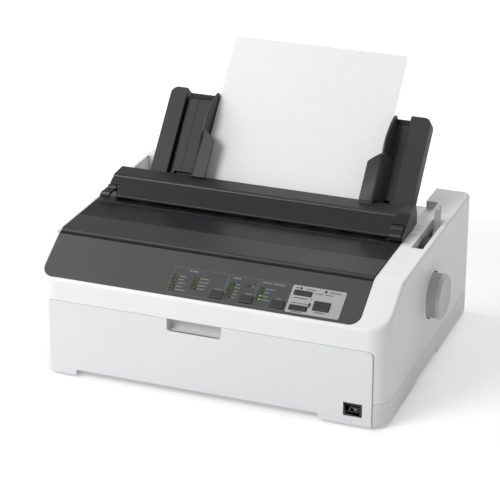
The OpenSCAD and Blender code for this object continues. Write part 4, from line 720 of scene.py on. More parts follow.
hood = drawn("tension_hood", section([
    (run, 5.2), (run, 7.4, 1.5), (180.4, 20.1, 0.4), (181.1, 21.4, 0.5), (184.6, 22.2, 1), (206, 23.4, 2), (209, 22, 2), (211, 15, 0.6),
    (208.6, 15), (206.8, 20.4, 1.5), (205, 21, 1), (186, 19.8, 1.5), (183.4, 19.3, 1), (180, 17.4, 1), (run + 2.4, 6.2), (run + 2.4, 5.2)]),
    hood_l, hood_r)
cut(hood, block("tab_room", hood_l - 1, front + run - 2, shoulder, wall_x - 0.2, tab_y + 5, shoulder + 30))
round_edges(hood, lambda m, d, n: (m.x < wall_x or m.x > hood_r - 0.01) and m.z > shoulder + 5.5 and n[0].angle(n[1]) > 1
            and min(s.z for s in n) > -0.3, 0.4, 2)
walls = [drawn("hood_wall", section([(161, 9.6), (179, 18.4, 3), (186, 21, 3), (205, 22.2, 2), (208, 20.6, 1), (210, 15, 1),
                                     (204, -3), (180, -3), (168, 3)]), x, x + 2) for x in (wall_x, hood_r - 2)]
hooks = [drawn("hook", section([(174, 14), (182, 18.6, 3), (204, 20.6), (203, 10), (196, -10, 2), (174, -10, 2)]), x, x + 2)
         for x in (-170.6, 156.7)]
for part in (*walls, *hooks):
    cut(part, rod("way", wall_x - 1, 159, front + 193, shoulder + 3, 3.05, "X", 24))
# the ledge runs on past the hood's left wall under the left tab; that dark part is painted shade, a filler standing for
# the shadow in the gap there
ledge = [block("ledge", hood_l + 0.6, front + 153.6, shoulder - 0.35, deck_r - 0.4, front + 165.5, shoulder + 0.35)]
ledge += [drawn("ledge_arm", section([(155, 0.3), (155.2, 5.8), (165, 11), (170, 6), (165.5, 0.3)]), x, x + 2) for x in (wall_x, hood_r - 2)]
bridge = block("bridge", hood_r - 1, front + 184, shoulder + 12, 158, front + 200, shoulder + 14)
pivots = [rod("pivot", hood_l + 0.5, wall_x, tab_y, tab_z, 2, "X", 24), rod("pivot", hood_r, deck_r - 0.3, tab_y, tab_z, 2, "X", 24)]
cap = drawn("hood_cap", section([(run, 1.6), (run, 7.4, 0.6), (180.4, 20.5, 0.5), (182.8, 22.3, 1), (184.4, 23.8, 1), (204, 26, 3),
                                 (208.5, 24, 2.5), (211.5, 14), (211.5, 1.6)]), hood_r, deck_r + 1.1)
cut(cap, drawn("cap_way", section([(run + 2.2, 0), (run + 2.2, 6.2), (180, 17.4), (183.5, 19.4), (186, 21.6), (203, 23.6), (206.3, 22),
                                   (209, 13.6), (209, 0)]), hood_r - 1, deck_r - 0.3),
    block("tab_room", hood_r, front + run - 2, shoulder - 1, deck_r - 0.3, tab_y + 5, shoulder + 30))
round_edges(cap, lambda m, d, n: m.x > deck_r + 1.09 and m.z > shoulder + 4 and max(s.z for s in n) > 0.2, 1.0, 4)
round_edges(cap, lambda m, d, n: m.x < hood_r + 0.01 and m.z > shoulder + 22.2 and max(s.z for s in n) > 0.4, 0.6, 3)
parts = [*walls, *hooks, *ledge, bridge, *pivots, cap]
for part in parts:
    soften(part, 0)
soften(hood, 0)
gather(hood, *parts)
dress(hood, hood_abs, "printer_case", "panel_dark", "tension_cover")

tab_line = section([(run + 9.6, 15.4, 1), (run + 8, 13.1, 1), (run + 0.4, 9.3, 1.4), (run - 0.8, 7.2, 0.6), (run - 1.1, 2.7, 0.4),
                    (run + 0.3, 2.4, 0.3), (run + 0.9, 6.3, 1), (run + 2, 7.3, 1), (run + 8.6, 10.6)])
for name, x0, x1, out in (("left", hood_l + 0.6, wall_x - 2.4, 6.0), ("right", hood_r + 0.6, deck_r - 0.9, 0.0)):
    tab = drawn(name + "_tab", tab_line, x0 - out, x1)
    if out:
        # the left tab flares towards its lip, so its sides are trimmed to a slant
        cut(tab, drawn("trim", [(x0 - 9, tab_y - 14), (x0 - out, tab_y - 12.8), (x0, tab_y - 2.5), (x0, tab_y + 9), (x0 - 9, tab_y + 9)],
                       shoulder, shoulder + 30, "Z"),
            drawn("trim", [(x1 + 3, tab_y - 14), (x1 - 5.2, tab_y - 14), (x1 - 5.2, tab_y - 12.8), (x1, tab_y - 2.5), (x1 + 3, tab_y - 2.5)],
                  shoulder, shoulder + 30, "Z"))
    round_edges(tab, lambda m, d, n: n[0].angle(n[1]) > 0.9 and m.z > shoulder + 3 and max(s.z for s in n) > 0.5, 0.35, 2)
    knuckle = rod("knuckle", x0, x1, tab_y, tab_z, 4, "X", 40)
    round_edges(knuckle, lambda m, d, n: n[0].angle(n[1]) > 1, 0.4, 2)
    fuse(tab, knuckle)
    cut(tab, rod("way", x0 - 1, x1 + 1, tab_y, tab_z, 2.05, "X", 24))
    soften(tab, 0)
    dress(tab, hood_abs, name + "_release_tab", "panel_dark", name + "_release_tab")

# rollers: grey acetal on a steel shaft
roller_grey = moulded("moulded_grey_acetal", "#5A5A5C", "#545456", 0.3, 0.6, 0.08, 1.48)
axle = rod("tension_axle", wall_x + 0.4, 158.4, front + 193, shoulder + 3, 3, "X", 32)
sleeves = []
for i in range(8):
    x = -143 + i * 271 / 7
    sleeve = rod("sleeve", x, x + 12, front + 193, shoulder + 3, 8, "X", 48)
    round_edges(sleeve, lambda m, d, n: n[0].angle(n[1]) > 1, 0.8, 3)
    sleeves.append(sleeve)
soften(axle, 0.3)
rollers = gather(axle, *sleeves)
soften(rollers, 0)
dress(rollers, roller_grey, "tension_rollers", "roller_grey", "tension_rollers")
# ---------------------------------------------------------------------------
# Sheet guide: a charcoal ABS frame that hooks over the side frames and leans
# back 41 degrees from upright. Two hollow posts stand on a thin plate with a
# rail across its top, cut away in the middle for the fingers.
# ---------------------------------------------------------------------------

guide_abs = moulded("moulded_guide_abs", "#353537", "#313133", 0.50, 0.7, 0.2, gleam=0.3)
guide_y, guide_z, lean, guide_h = front + 217, shoulder + 15, math.radians(49), 113.0
post_l, post_r = deck_l + 40.2, deck_r - 8.1
inner_l, inner_r = post_l + 25, post_r - 24.5
sheet_l, sheet_r = inner_l + 39, inner_r - 19.8
frame_l, frame_r = deck_l + 28.9, deck_r - 13.7


def on_guide(piece):
    """Lean a piece drawn flat: X across, Y up the guide, Z out of its face."""
    take(piece)
    piece.rotation_euler = (lean, 0, 0)
    piece.location = Vector((0, guide_y, guide_z)) * MM
    bpy.ops.object.transform_apply(location=True, rotation=True, scale=True)
    return piece


left_post = plate("left_post", post_l, 0, post_l + 21, guide_h, -24, 0, (0, 0, 1.5, 9), 8)
cut(left_post, plate("post_way", post_l + 2.4, 2.4, post_l + 18.6, guide_h - 9, -25, -2.6, (1,) * 4))
right_post = plate("right_post", inner_r, 0, post_r, guide_h, -24, 0, (0, 0, 8, 1.5), 8)
round_edges(right_post, lambda m, d, n: m.z < -23.9 and m.y > 1 and m.x > inner_r + 1, 7.6, 6)
cut(right_post, plate("post_way", inner_r + 2.4, 2.4, post_r - 9.4, guide_h - 11, -25, -2.6, (1,) * 4),
    plate("foot_way", inner_r - 1, -1, inner_r + 0.6, guide_h - 3, -0.5, 1))
for post in (left_post, right_post):
    round_edges(post, lambda m, d, n: m.z > -0.01 and n[0].angle(n[1]) > 1, 0.5, 2)
    soften(post, 0)
stop_l, stop_r = sheet_l + 55, sheet_r - 55
channel = block("channel", inner_l - 4.1, 0, -20, inner_l, guide_h - 6, -18)
back = plate("guide_plate", inner_l, -10, inner_r, guide_h - 5, -5, -2.6)
cut(back, block("left_slot", inner_l + 4, 3.4, -6, stop_l, 7.8, -1), block("right_slot", stop_r, 3.4, -6, inner_r - 3, 7.8, -1),
    block("left_joint", inner_l + 12, 2, -3.1, inner_l + 12.5, guide_h - 12, -1),
    block("right_joint", inner_r - 9.6, 2, -3.0, inner_r - 9.1, guide_h - 12, -1),
    block("right_cross", inner_r - 19, 41, -2.9, inner_r - 9, 41.5, -1),
    block("under_rail", inner_l + 0.6, guide_h - 12.4, -4.2, stop_l + 11, guide_h - 11, -1),
    block("under_rail", stop_r - 11, guide_h - 12.4, -4.2, inner_r - 0.6, guide_h - 11, -1),
    plate("finger_way", stop_l + 12, guide_h - 32, stop_r - 12, guide_h, -6, -1, (8, 8, 0, 0)))
round_edges(back, lambda m, d, n: m.z > -2.61 and n[0].angle(n[1]) > 1 and m.y > guide_h - 10, 0.4, 2)
extras = [block("plate_edge", inner_l, 0, -20, inner_l + 2, guide_h - 5, -2.6),
          block("rail", inner_l, guide_h - 11, -9, stop_l + 12, guide_h - 5, -2.6),
          block("rail", stop_r - 12, guide_h - 11, -9, inner_r, guide_h - 5, -2.6),
          block("slot_back", inner_l + 2, -1, -9, stop_l + 2, 12, -8), block("slot_back", stop_r - 2, -1, -9, inner_r - 0.2, 12, -8),
          block("tongue", frame_l + 0.4, -26, -20, frame_l + 4.4, 6, -12), block("arm", frame_l + 0.4, 1, -20, post_l + 3, 6, -12),
          block("tongue", frame_r - 4.4, -26, -20, frame_r - 0.4, 6, -12)]
for k in range(9):
    x = stop_l + 12 + (stop_r - stop_l - 24) * k / 8
    extras.append(block("back_rib", x - 0.6, 4, -8.6, x + 0.6, guide_h - 34, -4.9))
for extra in extras:
    soften(extra, 0.3)
soften(back, 0)
guide = gather(back, left_post, right_post, channel, *extras)
guide.name = "sheet_guide_frame"
on_guide(guide)
dress(guide, guide_abs, "sheet_guide", "guide_dark", "sheet_guide")

# ---------------------------------------------------------------------------
# Edge guides: two dark grey sliders. Each has a wall beside the sheet, a wing
# that laps over it, a foot under it and a stem that runs in the guide's slot.
# ---------------------------------------------------------------------------

slider_abs = moulded("moulded_slider_abs", "#3C3C3F", "#38383B", 0.48, 0.6, 0.16, gleam=0.35)


def edge_guide(name, edge, side):
    """side is -1 for the left guide and 1 for the right one; edge is the sheet's edge."""
    top = guide_h - 3
    blade = drawn(name, rounded([(1, -2.3), (top - 2, -2.3), (top, -1, 1), (top, 4, 2), (top - 5, 8.5, 6), (top - 14, 13, 20),
                                 (top - 23, 17.5, 30), (top - 33, 21, 30), (top - 44, 21.8, 20), (top - 55, 19.5, 4), (-3, 19.5, 0.8), (-3, 17.6, 0.8), (1, 13, 3)], 6), -3, 0)
    round_edges(blade, lambda m, d, n: m.z > 0 and m.y > 58 and n[0].angle(n[1]) > 1, 1.1, 4)
    wing = drawn("wing", rounded([(-3, -3), (14.5, -3, 1), (14.5, 45, 5), (7, 51.6, 8), (0, 57, 3), (-3, 57)], 6), 17.5, 19.5, "Z")
    round_edges(wing, lambda m, d, n: m.z > 19.49 and m.x > -2.9, 0.6, 2)
    flank = drawn("flank", rounded([(-9.5, -2.3), (-7.5, -2.3), (-4, 6, 8), (-0.6, 18.6), (-1.2, 19.5, 0.8), (-3, 19.5, 0.9), (-6, 9, 10)], 5), 1, 57, "Y")
    foot = block("foot", -9.5, 2, -2.3, 9, 50, -0.5)
    stem = block("stem", -7, 4, -5.4, -2, 7.2, -2.29)
    keeper = block("keeper", -9, 0.4, -7, 0, 10.4, -5.35)
    for part in (blade, wing, flank):
        soften(part, 0)
    for part in (foot, stem, keeper):
        soften(part, 0.3)
    piece = gather(blade, wing, flank, foot, stem, keeper)
    if side > 0:
        take(piece)
        piece.data.transform(Matrix.Diagonal((-1, 1, 1, 1)))
        piece.data.flip_normals()
    piece.data.transform(Matrix.Translation(((edge + side) * MM, 0, 0)))
    return on_guide(piece)


for name, edge, side in (("left_edge_guide", sheet_l, -1), ("right_edge_guide", sheet_r, 1)):
    dress(edge_guide(name + "_slider", edge, side), slider_abs, name, "edge_guide_grey", name)

# ---------------------------------------------------------------------------
# The sheet: one leaf of uncoated office paper, 216 by 279 mm, resting in the
# guide with its lower edge behind the hood. Paper scatters light and shows a
# faint cloud of fibres; nothing is printed on it.
# ---------------------------------------------------------------------------

paper, tree, shader = finish("uncoated_office_paper", "#F3F3F3", 0.85, IOR=1.5, Specular_IOR_Level=0.2)
place = add(tree, "ShaderNodeTexCoord", {}).outputs["Object"]
cloud = add(tree, "ShaderNodeTexNoise", {"Scale": 90.0, "Detail": 6.0}, {"Vector": place})
fibre = add(tree, "ShaderNodeTexNoise", {"Scale": 1500.0, "Detail": 3.0}, {"Vector": place})
tint = add(tree, "ShaderNodeMix", {"data_type": "RGBA", 6: ink("#F5F5F5"), 7: ink("#F1F1F1")}, {0: cloud.outputs["Fac"]})
bump = add(tree, "ShaderNodeBump", {"Strength": 0.15, "Distance": 0.00005}, {"Height": fibre.outputs["Fac"]})
tree.links.new(tint.outputs[2], shader.inputs["Base Color"])
tree.links.new(bump.outputs["Normal"], shader.inputs["Normal"])
leaf = plate("paper_leaf", sheet_l, -93, sheet_r, 186, 0.1, 0.25)
take(leaf)
bpy.ops.object.mode_set(mode="EDIT")
bpy.ops.mesh.select_all(action="SELECT")
bpy.ops.mesh.subdivide(number_cuts=15)
bpy.ops.object.mode_set(mode="OBJECT")
# a sheet is never dead flat: a shallow bow of under a third of a millimetre, gone where it is held
for point in leaf.data.vertices:
    u = (point.co.x / MM - sheet_l) / (sheet_r - sheet_l)
    v = max(0.0, (point.co.y / MM - 60) / 126)
    point.co.z += MM * 0.15 * v * v * math.cos(math.pi * (u - 0.5))
soften(leaf, 0)
on_guide(leaf)
dress(leaf, paper, "paper_sheet", "paper_white", "paper_sheet")
# ---------------------------------------------------------------------------
# Release lever: a pale grey ABS grip on a flat arm that comes up through the
# slot in the shoulder. A black quadrant on the arm closes the slot in front.
# ---------------------------------------------------------------------------

lever_abs = moulded("moulded_lever_abs", "#B2B2AF", "#ACACA9", 0.40, 0.5, 0.12)
lever_x, lever_y, lever_z = slot[0] + 9.2, front + 193, 98.0
hub = rod("release_lever_arm", lever_x - 3.4, lever_x + 3.4, lever_y, lever_z, 9, "X", 48)
arm = drawn("arm", [(lever_y + y, lever_z + z) for y, z in ((-2, 4), (17, 50), (24, 50), (8, 2))], lever_x - 2.5, lever_x + 2.5)
fuse(hub, arm)
cut(hub, rod("bore", lever_x - 5, lever_x + 5, lever_y, lever_z, 3.05, "X", 32))
grip = drawn("grip", section([(207.5, -16), (214.6, -8, 3), (215.6, -3, 20), (218.6, 18.6, 3), (220.6, 22.2, 2), (223.2, 23, 1.6),
                              (225.6, 21, 2), (222.4, -3, 20), (220.4, -9.6), (218, -16)]), lever_x - 3.2, lever_x + 3.2)
round_edges(grip, lambda m, d, n: n[0].angle(n[1]) > 1 and m.z > shoulder - 7, 0.9, 3)
soften(hub, 0.4)
soften(grip, 0)
gather(hub, grip)
dress(hub, lever_abs, "release_lever", "lever_grey", "release_lever")

arc = [math.radians(a) for a in range(36, -20, -4)]
rim = drawn("slot_quadrant", [(lever_y - 50.2 * math.sin(a), lever_z + 50.2 * math.cos(a)) for a in arc]
            + [(lever_y - 46.8 * math.sin(a), lever_z + 46.8 * math.cos(a)) for a in reversed(arc)], lever_x - 6.6, lever_x + 3.4)
round_edges(rim, lambda m, d, n: n[0].angle(n[1]) > 1.2 and (m.y - lever_y) ** 2 + (m.z - lever_z) ** 2 > 2500, 0.5, 2)
web = drawn("web", [(lever_y - 10, lever_z + 13)] + [(lever_y - 47.2 * math.sin(a), lever_z + 47.2 * math.cos(a)) for a in arc[1:-1]]
            + [(lever_y + 2, lever_z + 10)], lever_x - 1.5, lever_x + 1.5)
soften(rim, 0)
soften(web, 0)
gather(rim, web)
dress(rim, black_nylon, "release_lever", "lever_grey")

# ---------------------------------------------------------------------------
# Platen knob: mid-grey ABS, pressed on the platen's shaft. It is a cup with a
# plain collar next to the case, fine ribs for grip and a flat, softly dished
# face.
# ---------------------------------------------------------------------------

knob_abs = moulded("moulded_knob_abs", "#CACAC9", "#C4C4C3", 0.44, 0.5, 0.14)
axis_y, axis_z, knob_in, knob_end, knob_r = front + 167, 92.0, 204.0, 222.5, 26.0


def turned(name, profile, y, z, sides=96):
    """A profile of (x, radius) pairs spun about an axis along X."""
    let_go()
    bpy.ops.mesh.primitive_circle_add(vertices=len(profile), radius=1, fill_type="NOTHING")
    piece = bpy.context.object
    piece.name = name
    for point, (x, r) in zip(piece.data.vertices, profile):
        point.co = Vector((x, y + r, z)) * MM
    bpy.ops.object.mode_set(mode="EDIT")
    bpy.ops.mesh.select_all(action="SELECT")
    bpy.ops.mesh.spin(steps=sides, angle=math.tau, center=Vector((0, y, z)) * MM, axis=(1, 0, 0), use_auto_merge=True)
    bpy.ops.mesh.select_all(action="SELECT")
    bpy.ops.mesh.remove_doubles(threshold=0.00001)
    bpy.ops.mesh.normals_make_consistent(inside=False)
    bpy.ops.object.mode_set(mode="OBJECT")
    return piece


knob = turned("platen_knob_cup", rounded([
    (knob_in, 23), (knob_in, knob_r, 0.5), (knob_in + 5, knob_r, 0.4), (knob_in + 5.3, knob_r - 0.9), (knob_end - 5, knob_r - 0.9),
    (knob_end - 4.6, knob_r, 0.3), (knob_end, knob_r - 0.5, 2.2), (knob_end - 0.2, knob_r - 4), (knob_end - 1.2, 14, 30), (knob_end - 1.3, 0.3),
    (knob_end - 4, 0.3), (knob_end - 4, 4.02), (knob_in - 0.6, 4.02), (knob_in - 0.6, 7), (knob_end - 3.4, 7), (knob_end - 3.4, 23)], 5),
    axis_y, axis_z)
ribs = []
for k in range(72):
    rib = plate("rib", -0.42, -0.42, 0.42, 0.42, knob_in + 4.6, knob_end - 4.2, (0.2,) * 4, 2)
    spin = Matrix.Rotation(k * math.tau / 72, 4, "X")
    rib.data.transform(Matrix.Translation(Vector((0, axis_y, axis_z)) * MM) @ spin @ Matrix.Translation((0, 0, (knob_r - 0.6) * MM))
                       @ Matrix(((0, 0, 1, 0), (1, 0, 0, 0), (0, 1, 0, 0), (0, 0, 0, 1))))
    ribs.append(rib)
ribs = gather(*ribs)
soften(ribs, 0)
soften(knob, 0)
gather(knob, ribs)
dress(knob, knob_abs, "platen", "knob_grey", "platen_knob")

# ---------------------------------------------------------------------------
# Lever marks: small grey pad-printed bars and a ring on the shoulder beside the
# slot, where the lever's settings are shown. They are generic marks, no words.
# ---------------------------------------------------------------------------

marks = []
for x0, x1, y, count in ((174.6, 182.2, 46.5, 2), (174.6, 182.8, 35.0, 2), (174.2, 183.6, 20.0, 3), (173.8, 183.4, -3.6, 3)):
    for k in range(count):
        top = 154.0 + (y - 2.4 * k - knee_y) / 268
        marks.append(block("mark", x0 + 0.9 * k, y - 2.4 * k - 0.35, top - 0.2, x1 - 1.3 * k, y - 2.4 * k + 0.35, top + 0.04))
ring_top = 154.0 + (97.7 - knee_y) / 268
ring = rod("ring_mark", ring_top - 0.2, ring_top + 0.04, 195.0, 97.7, 3.6, "Z", 40)
cut(ring, rod("ring_way", 150, 158, 195.0, 97.7, 3.0, "Z", 40))
marks = gather(ring, *marks)
marks.name = "lever_marks"
soften(marks, 0)
shoulder_ink = printed("pad_printed_pale_ink", "#B6B6B8", "#C6C6C8")
dress(marks, shoulder_ink, "printer_case", "case_white")
# ---------------------------------------------------------------------------
# Chassis: a bottom plate, two side frames and a folded rail pressed from zinc-
# plated steel and held by screws. Zinc is a soft grey metal with a faint bloom.
# ---------------------------------------------------------------------------


def metal(name, light, dark, roughness, patch_mm, stretch=(1, 1, 1), depth=0.05):
    """Bare or plated metal: its tone and gloss drift in patches, drawn out along the way it was worked."""
    material, tree, shader = finish(name, light, roughness, Metallic=1.0)
    place = add(tree, "ShaderNodeTexCoord", {}).outputs["Object"]
    pull = add(tree, "ShaderNodeMapping", {"Scale": stretch}, {"Vector": place})
    patch = add(tree, "ShaderNodeTexNoise", {"Scale": 1000 / patch_mm, "Detail": 4.0}, {"Vector": pull.outputs[0]})
    tone = add(tree, "ShaderNodeMix", {"data_type": "RGBA", 6: ink(light), 7: ink(dark)}, {0: patch.outputs["Fac"]})
    gloss = add(tree, "ShaderNodeMapRange", {"From Min": 0.3, "From Max": 0.7, "To Min": roughness - 0.07,
                                             "To Max": roughness + 0.09}, {"Value": patch.outputs["Fac"]})
    bump = add(tree, "ShaderNodeBump", {"Strength": depth, "Distance": 0.0001}, {"Height": patch.outputs["Fac"]})
    tree.links.new(tone.outputs[2], shader.inputs["Base Color"])
    tree.links.new(gloss.outputs["Result"], shader.inputs["Roughness"])
    tree.links.new(bump.outputs["Normal"], shader.inputs["Normal"])
    return material


def coat(material, *nodes):
    """CAD nodes that keep their shape take a finish."""
    for node in nodes:
        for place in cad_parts[node].material_slots:
            place.material = material


zinc = metal("zinc_plated_steel", "#A9ACB0", "#93979C", 0.42, 5.0)
coat(zinc, "chassis_plate", "left_side_frame", "right_side_frame", "front_rail")
# screws take plain patches; turned shafts are ground along their length, so streaks run round them
coat(metal("nickel_plated_screw", "#8E9094", "#7C7E82", 0.34, 1.2), "chassis_screws")
ground = metal("ground_steel_shaft", "#C6C8CB", "#AEB1B5", 0.22, 0.8, (6, 1, 1), 0.03)
coat(ground, "carriage_shaft", "platen_shaft", "tractor_guide_rod", "tractor_shaft")

# ---------------------------------------------------------------------------
# Platen: a steel shaft in a ground rubber sleeve that presses the sheet to the
# head. It turns in two nylon bushes, over a black pressed pan for the paper.
# ---------------------------------------------------------------------------

platen_rubber, tree, shader = finish("ground_platen_rubber", "#242425", 0.62, IOR=1.52, Specular_IOR_Level=0.35)
place = add(tree, "ShaderNodeTexCoord", {}).outputs["Object"]
lap = add(tree, "ShaderNodeMapping", {"Scale": (5, 1, 1)}, {"Vector": place})
grit = add(tree, "ShaderNodeTexNoise", {"Scale": 900.0, "Detail": 3.0}, {"Vector": lap.outputs[0]})
tint = add(tree, "ShaderNodeMix", {"data_type": "RGBA", 6: ink("#29292A"), 7: ink("#1E1E1F")}, {0: grit.outputs["Fac"]})
bump = add(tree, "ShaderNodeBump", {"Strength": 0.2, "Distance": 0.0001}, {"Height": grit.outputs["Fac"]})
tree.links.new(tint.outputs[2], shader.inputs["Base Color"])
tree.links.new(bump.outputs["Normal"], shader.inputs["Normal"])
coat(platen_rubber, "platen_roller")

nylon = moulded("moulded_natural_nylon", "#D8D4C6", "#CBC6B6", 0.34, 1.2, 0.1, 1.53)
coat(nylon, "platen_bearings", "platen_gear", "feed_idler_gear")
mechanism_black = moulded("painted_pan_black", "#1B1B1C", "#161617", 0.46, 0.5, 0.2, gleam=0.35)
coat(mechanism_black, "paper_pan")

# ---------------------------------------------------------------------------
# Feed drive: a stepping motor in a black enamelled can turns the platen and the
# tractors' shaft through a brass pinion and acetal gears. Each tractor has a
# row of sprocket pins under a snap lid.
# ---------------------------------------------------------------------------

enamel = moulded("stoved_motor_enamel", "#1E1F21", "#18191A", 0.32, 1.5, 0.12, 1.5)
coat(enamel, "feed_motor")
coat(metal("turned_brass", "#C9A95C", "#B3924A", 0.26, 0.8), "feed_motor_pinion")
tractor_abs = moulded("moulded_tractor_acetal", "#2A2B2E", "#252629", 0.36, 0.6, 0.12, 1.48)
coat(tractor_abs, "left_tractor", "right_tractor")

# ---------------------------------------------------------------------------
# Carriage: a black block on the ground shaft with the dot matrix head clamped
# to it. The head's die-cast body has cooling fins; a toothed rubber belt on two
# pulleys draws the carriage across, driven by a second enamelled motor.
# ---------------------------------------------------------------------------

carriage_abs = moulded("moulded_carriage_black", "#1D1D1F", "#19191A", 0.4, 0.6, 0.15)
coat(carriage_abs, "carriage")
cast = metal("die_cast_head_alloy", "#5B5D61", "#4A4C50", 0.48, 1.0, depth=0.2)
coat(cast, "print_head")
coat(enamel, "carriage_motor")
coat(metal("sintered_pulley", "#B9BBBE", "#9FA2A6", 0.36, 0.7, depth=0.15), "motor_pulley", "idler_pulley")

belt_rubber, tree, shader = finish("ribbed_belt_rubber", "#1A1A1B", 0.7, IOR=1.52)
place = add(tree, "ShaderNodeTexCoord", {}).outputs["Object"]
# teeth every 2.032 mm along the run
teeth = add(tree, "ShaderNodeTexWave", {"bands_direction": "X", "Scale": 1000 / 2.032 / 20, "Distortion": 0.0}, {"Vector": place})
tint = add(tree, "ShaderNodeMix", {"data_type": "RGBA", 6: ink("#202021"), 7: ink("#131314")}, {0: teeth.outputs["Fac"]})
bump = add(tree, "ShaderNodeBump", {"Strength": 0.5, "Distance": 0.0004}, {"Height": teeth.outputs["Fac"]})
tree.links.new(tint.outputs[2], shader.inputs["Base Color"])
tree.links.new(bump.outputs["Normal"], shader.inputs["Normal"])
coat(belt_rubber, "timing_belt")
coat(moulded("moulded_gap_lever_green", "#2C6E62", "#27645A", 0.36, 0.6, 0.12), "gap_lever")

# ---------------------------------------------------------------------------
# Ribbon: an endless inked nylon tape in a slim black polystyrene cartridge that
# clips between the side frames. A blue knob on top takes up the slack.
# ---------------------------------------------------------------------------

coat(moulded("moulded_cartridge_styrene", "#1C1C1E", "#18181A", 0.3, 0.8, 0.12, 1.59), "ribbon_cartridge")
inked, tree, shader = finish("inked_nylon_tape", "#121214", 0.66, IOR=1.53, Sheen_Weight=0.1)
place = add(tree, "ShaderNodeTexCoord", {}).outputs["Object"]
# a plain weave, its threads 0.2 mm apart, drawn at 0.5 mm so that they show
warp = add(tree, "ShaderNodeTexWave", {"bands_direction": "X", "Scale": 1000 / 0.5 / 20}, {"Vector": place})
weft = add(tree, "ShaderNodeTexWave", {"bands_direction": "Z", "Scale": 1000 / 0.5 / 20}, {"Vector": place})
weave = add(tree, "ShaderNodeMath", {"operation": "MULTIPLY"}, {0: warp.outputs["Fac"], 1: weft.outputs["Fac"]})
tint = add(tree, "ShaderNodeMix", {"data_type": "RGBA", 6: ink("#0E0E10"), 7: ink("#1D1D20")}, {0: weave.outputs[0]})
bump = add(tree, "ShaderNodeBump", {"Strength": 0.5, "Distance": 0.0001}, {"Height": weave.outputs[0]})
tree.links.new(tint.outputs[2], shader.inputs["Base Color"])
tree.links.new(bump.outputs["Normal"], shader.inputs["Normal"])
coat(inked, "ribbon")
coat(moulded("moulded_ribbon_knob_blue", "#24407C", "#1F3A70", 0.34, 0.6, 0.12), "ribbon_knob")
# ---------------------------------------------------------------------------
# Boards: the main board at the back, the power supply under the brow and the
# small board behind the keys. Each is green resist over copper on glass epoxy,
# with black epoxy parts and bright solder standing on it.
# ---------------------------------------------------------------------------


def board(name, under, over, resist, tall, across=(0, 0, 1)):
    """Resist between two heights in millimetres measured along a direction, parts of the colour tall above it."""
    material, tree, shader = finish(name, resist[0], 0.38, IOR=1.5)
    place = add(tree, "ShaderNodeTexCoord", {}).outputs["Object"]
    lift = add(tree, "ShaderNodeVectorMath", {"operation": "DOT_PRODUCT", 1: across}, {0: place})
    above = add(tree, "ShaderNodeMath", {"operation": "GREATER_THAN", 1: over * MM}, {0: lift.outputs["Value"]})
    below = add(tree, "ShaderNodeMath", {"operation": "LESS_THAN", 1: under * MM}, {0: lift.outputs["Value"]})
    # tracks 0.6 mm wide every 2.5 mm, turning now and then, and round pads between them
    bend = add(tree, "ShaderNodeTexNoise", {"Scale": 30.0, "Detail": 0.0}, {"Vector": place})
    tracks = add(tree, "ShaderNodeTexWave", {"bands_direction": "X", "Scale": 1000 / 2.5 / 20, "Distortion": 1.5,
                                             "Detail Scale": 1.0}, {"Vector": place, "Phase Offset": bend.outputs["Fac"]})
    line = add(tree, "ShaderNodeMath", {"operation": "GREATER_THAN", 1: 0.8}, {0: tracks.outputs["Fac"]})
    dots = add(tree, "ShaderNodeTexVoronoi", {"Scale": 260.0, "Randomness": 0.3}, {"Vector": place})
    pad = add(tree, "ShaderNodeMath", {"operation": "LESS_THAN", 1: 0.2}, {0: dots.outputs["Distance"]})
    green = add(tree, "ShaderNodeMix", {"data_type": "RGBA", 6: ink(resist[0]), 7: ink(resist[1])}, {0: line.outputs[0]})
    solder = add(tree, "ShaderNodeMix", {"data_type": "RGBA", 7: ink("#B9BBBC")}, {0: pad.outputs[0], 6: green.outputs[2]})
    parts = add(tree, "ShaderNodeMix", {"data_type": "RGBA", 7: ink(tall)}, {0: above.outputs[0], 6: solder.outputs[2]})
    stands = add(tree, "ShaderNodeMix", {"data_type": "RGBA", 7: ink("#A5A8AB")}, {0: below.outputs[0], 6: parts.outputs[2]})
    bump = add(tree, "ShaderNodeBump", {"Strength": 0.2, "Distance": 0.0001}, {"Height": line.outputs[0]})
    tree.links.new(stands.outputs[2], shader.inputs["Base Color"])
    tree.links.new(bump.outputs["Normal"], shader.inputs["Normal"])
    return material


board_low, board_high = (corner[2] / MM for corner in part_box("main_board"))
coat(board("main_board_resist", board_high - 16.1, board_high - 14.3, ("#1F6B3C", "#2B7D49"), "#1E1E20"), "main_board")
supply_low, supply_high = (corner[2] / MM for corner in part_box("power_supply"))
coat(board("supply_board_resist", supply_low + 3.9, supply_low + 5.7, ("#8A7A3A", "#9A8946"), "#2A2A2C"), "power_supply")
# the key board lies parallel to the brow, 10.4 mm under it
tilt = (0, -math.sin(slope), math.cos(slope))
face = -deck_y * math.sin(slope) + deck_z * math.cos(slope)
coat(board("key_board_resist", face - 12.1, face - 10.3, ("#1F6B3C", "#2B7D49"), "#2A2A2C", tilt), "panel_board")

# ---------------------------------------------------------------------------
# Back connectors: nickel-plated shells with black tongues on a plated plate,
# and a three-pin mains inlet of black glass-filled nylon with nickel blades.
# ---------------------------------------------------------------------------

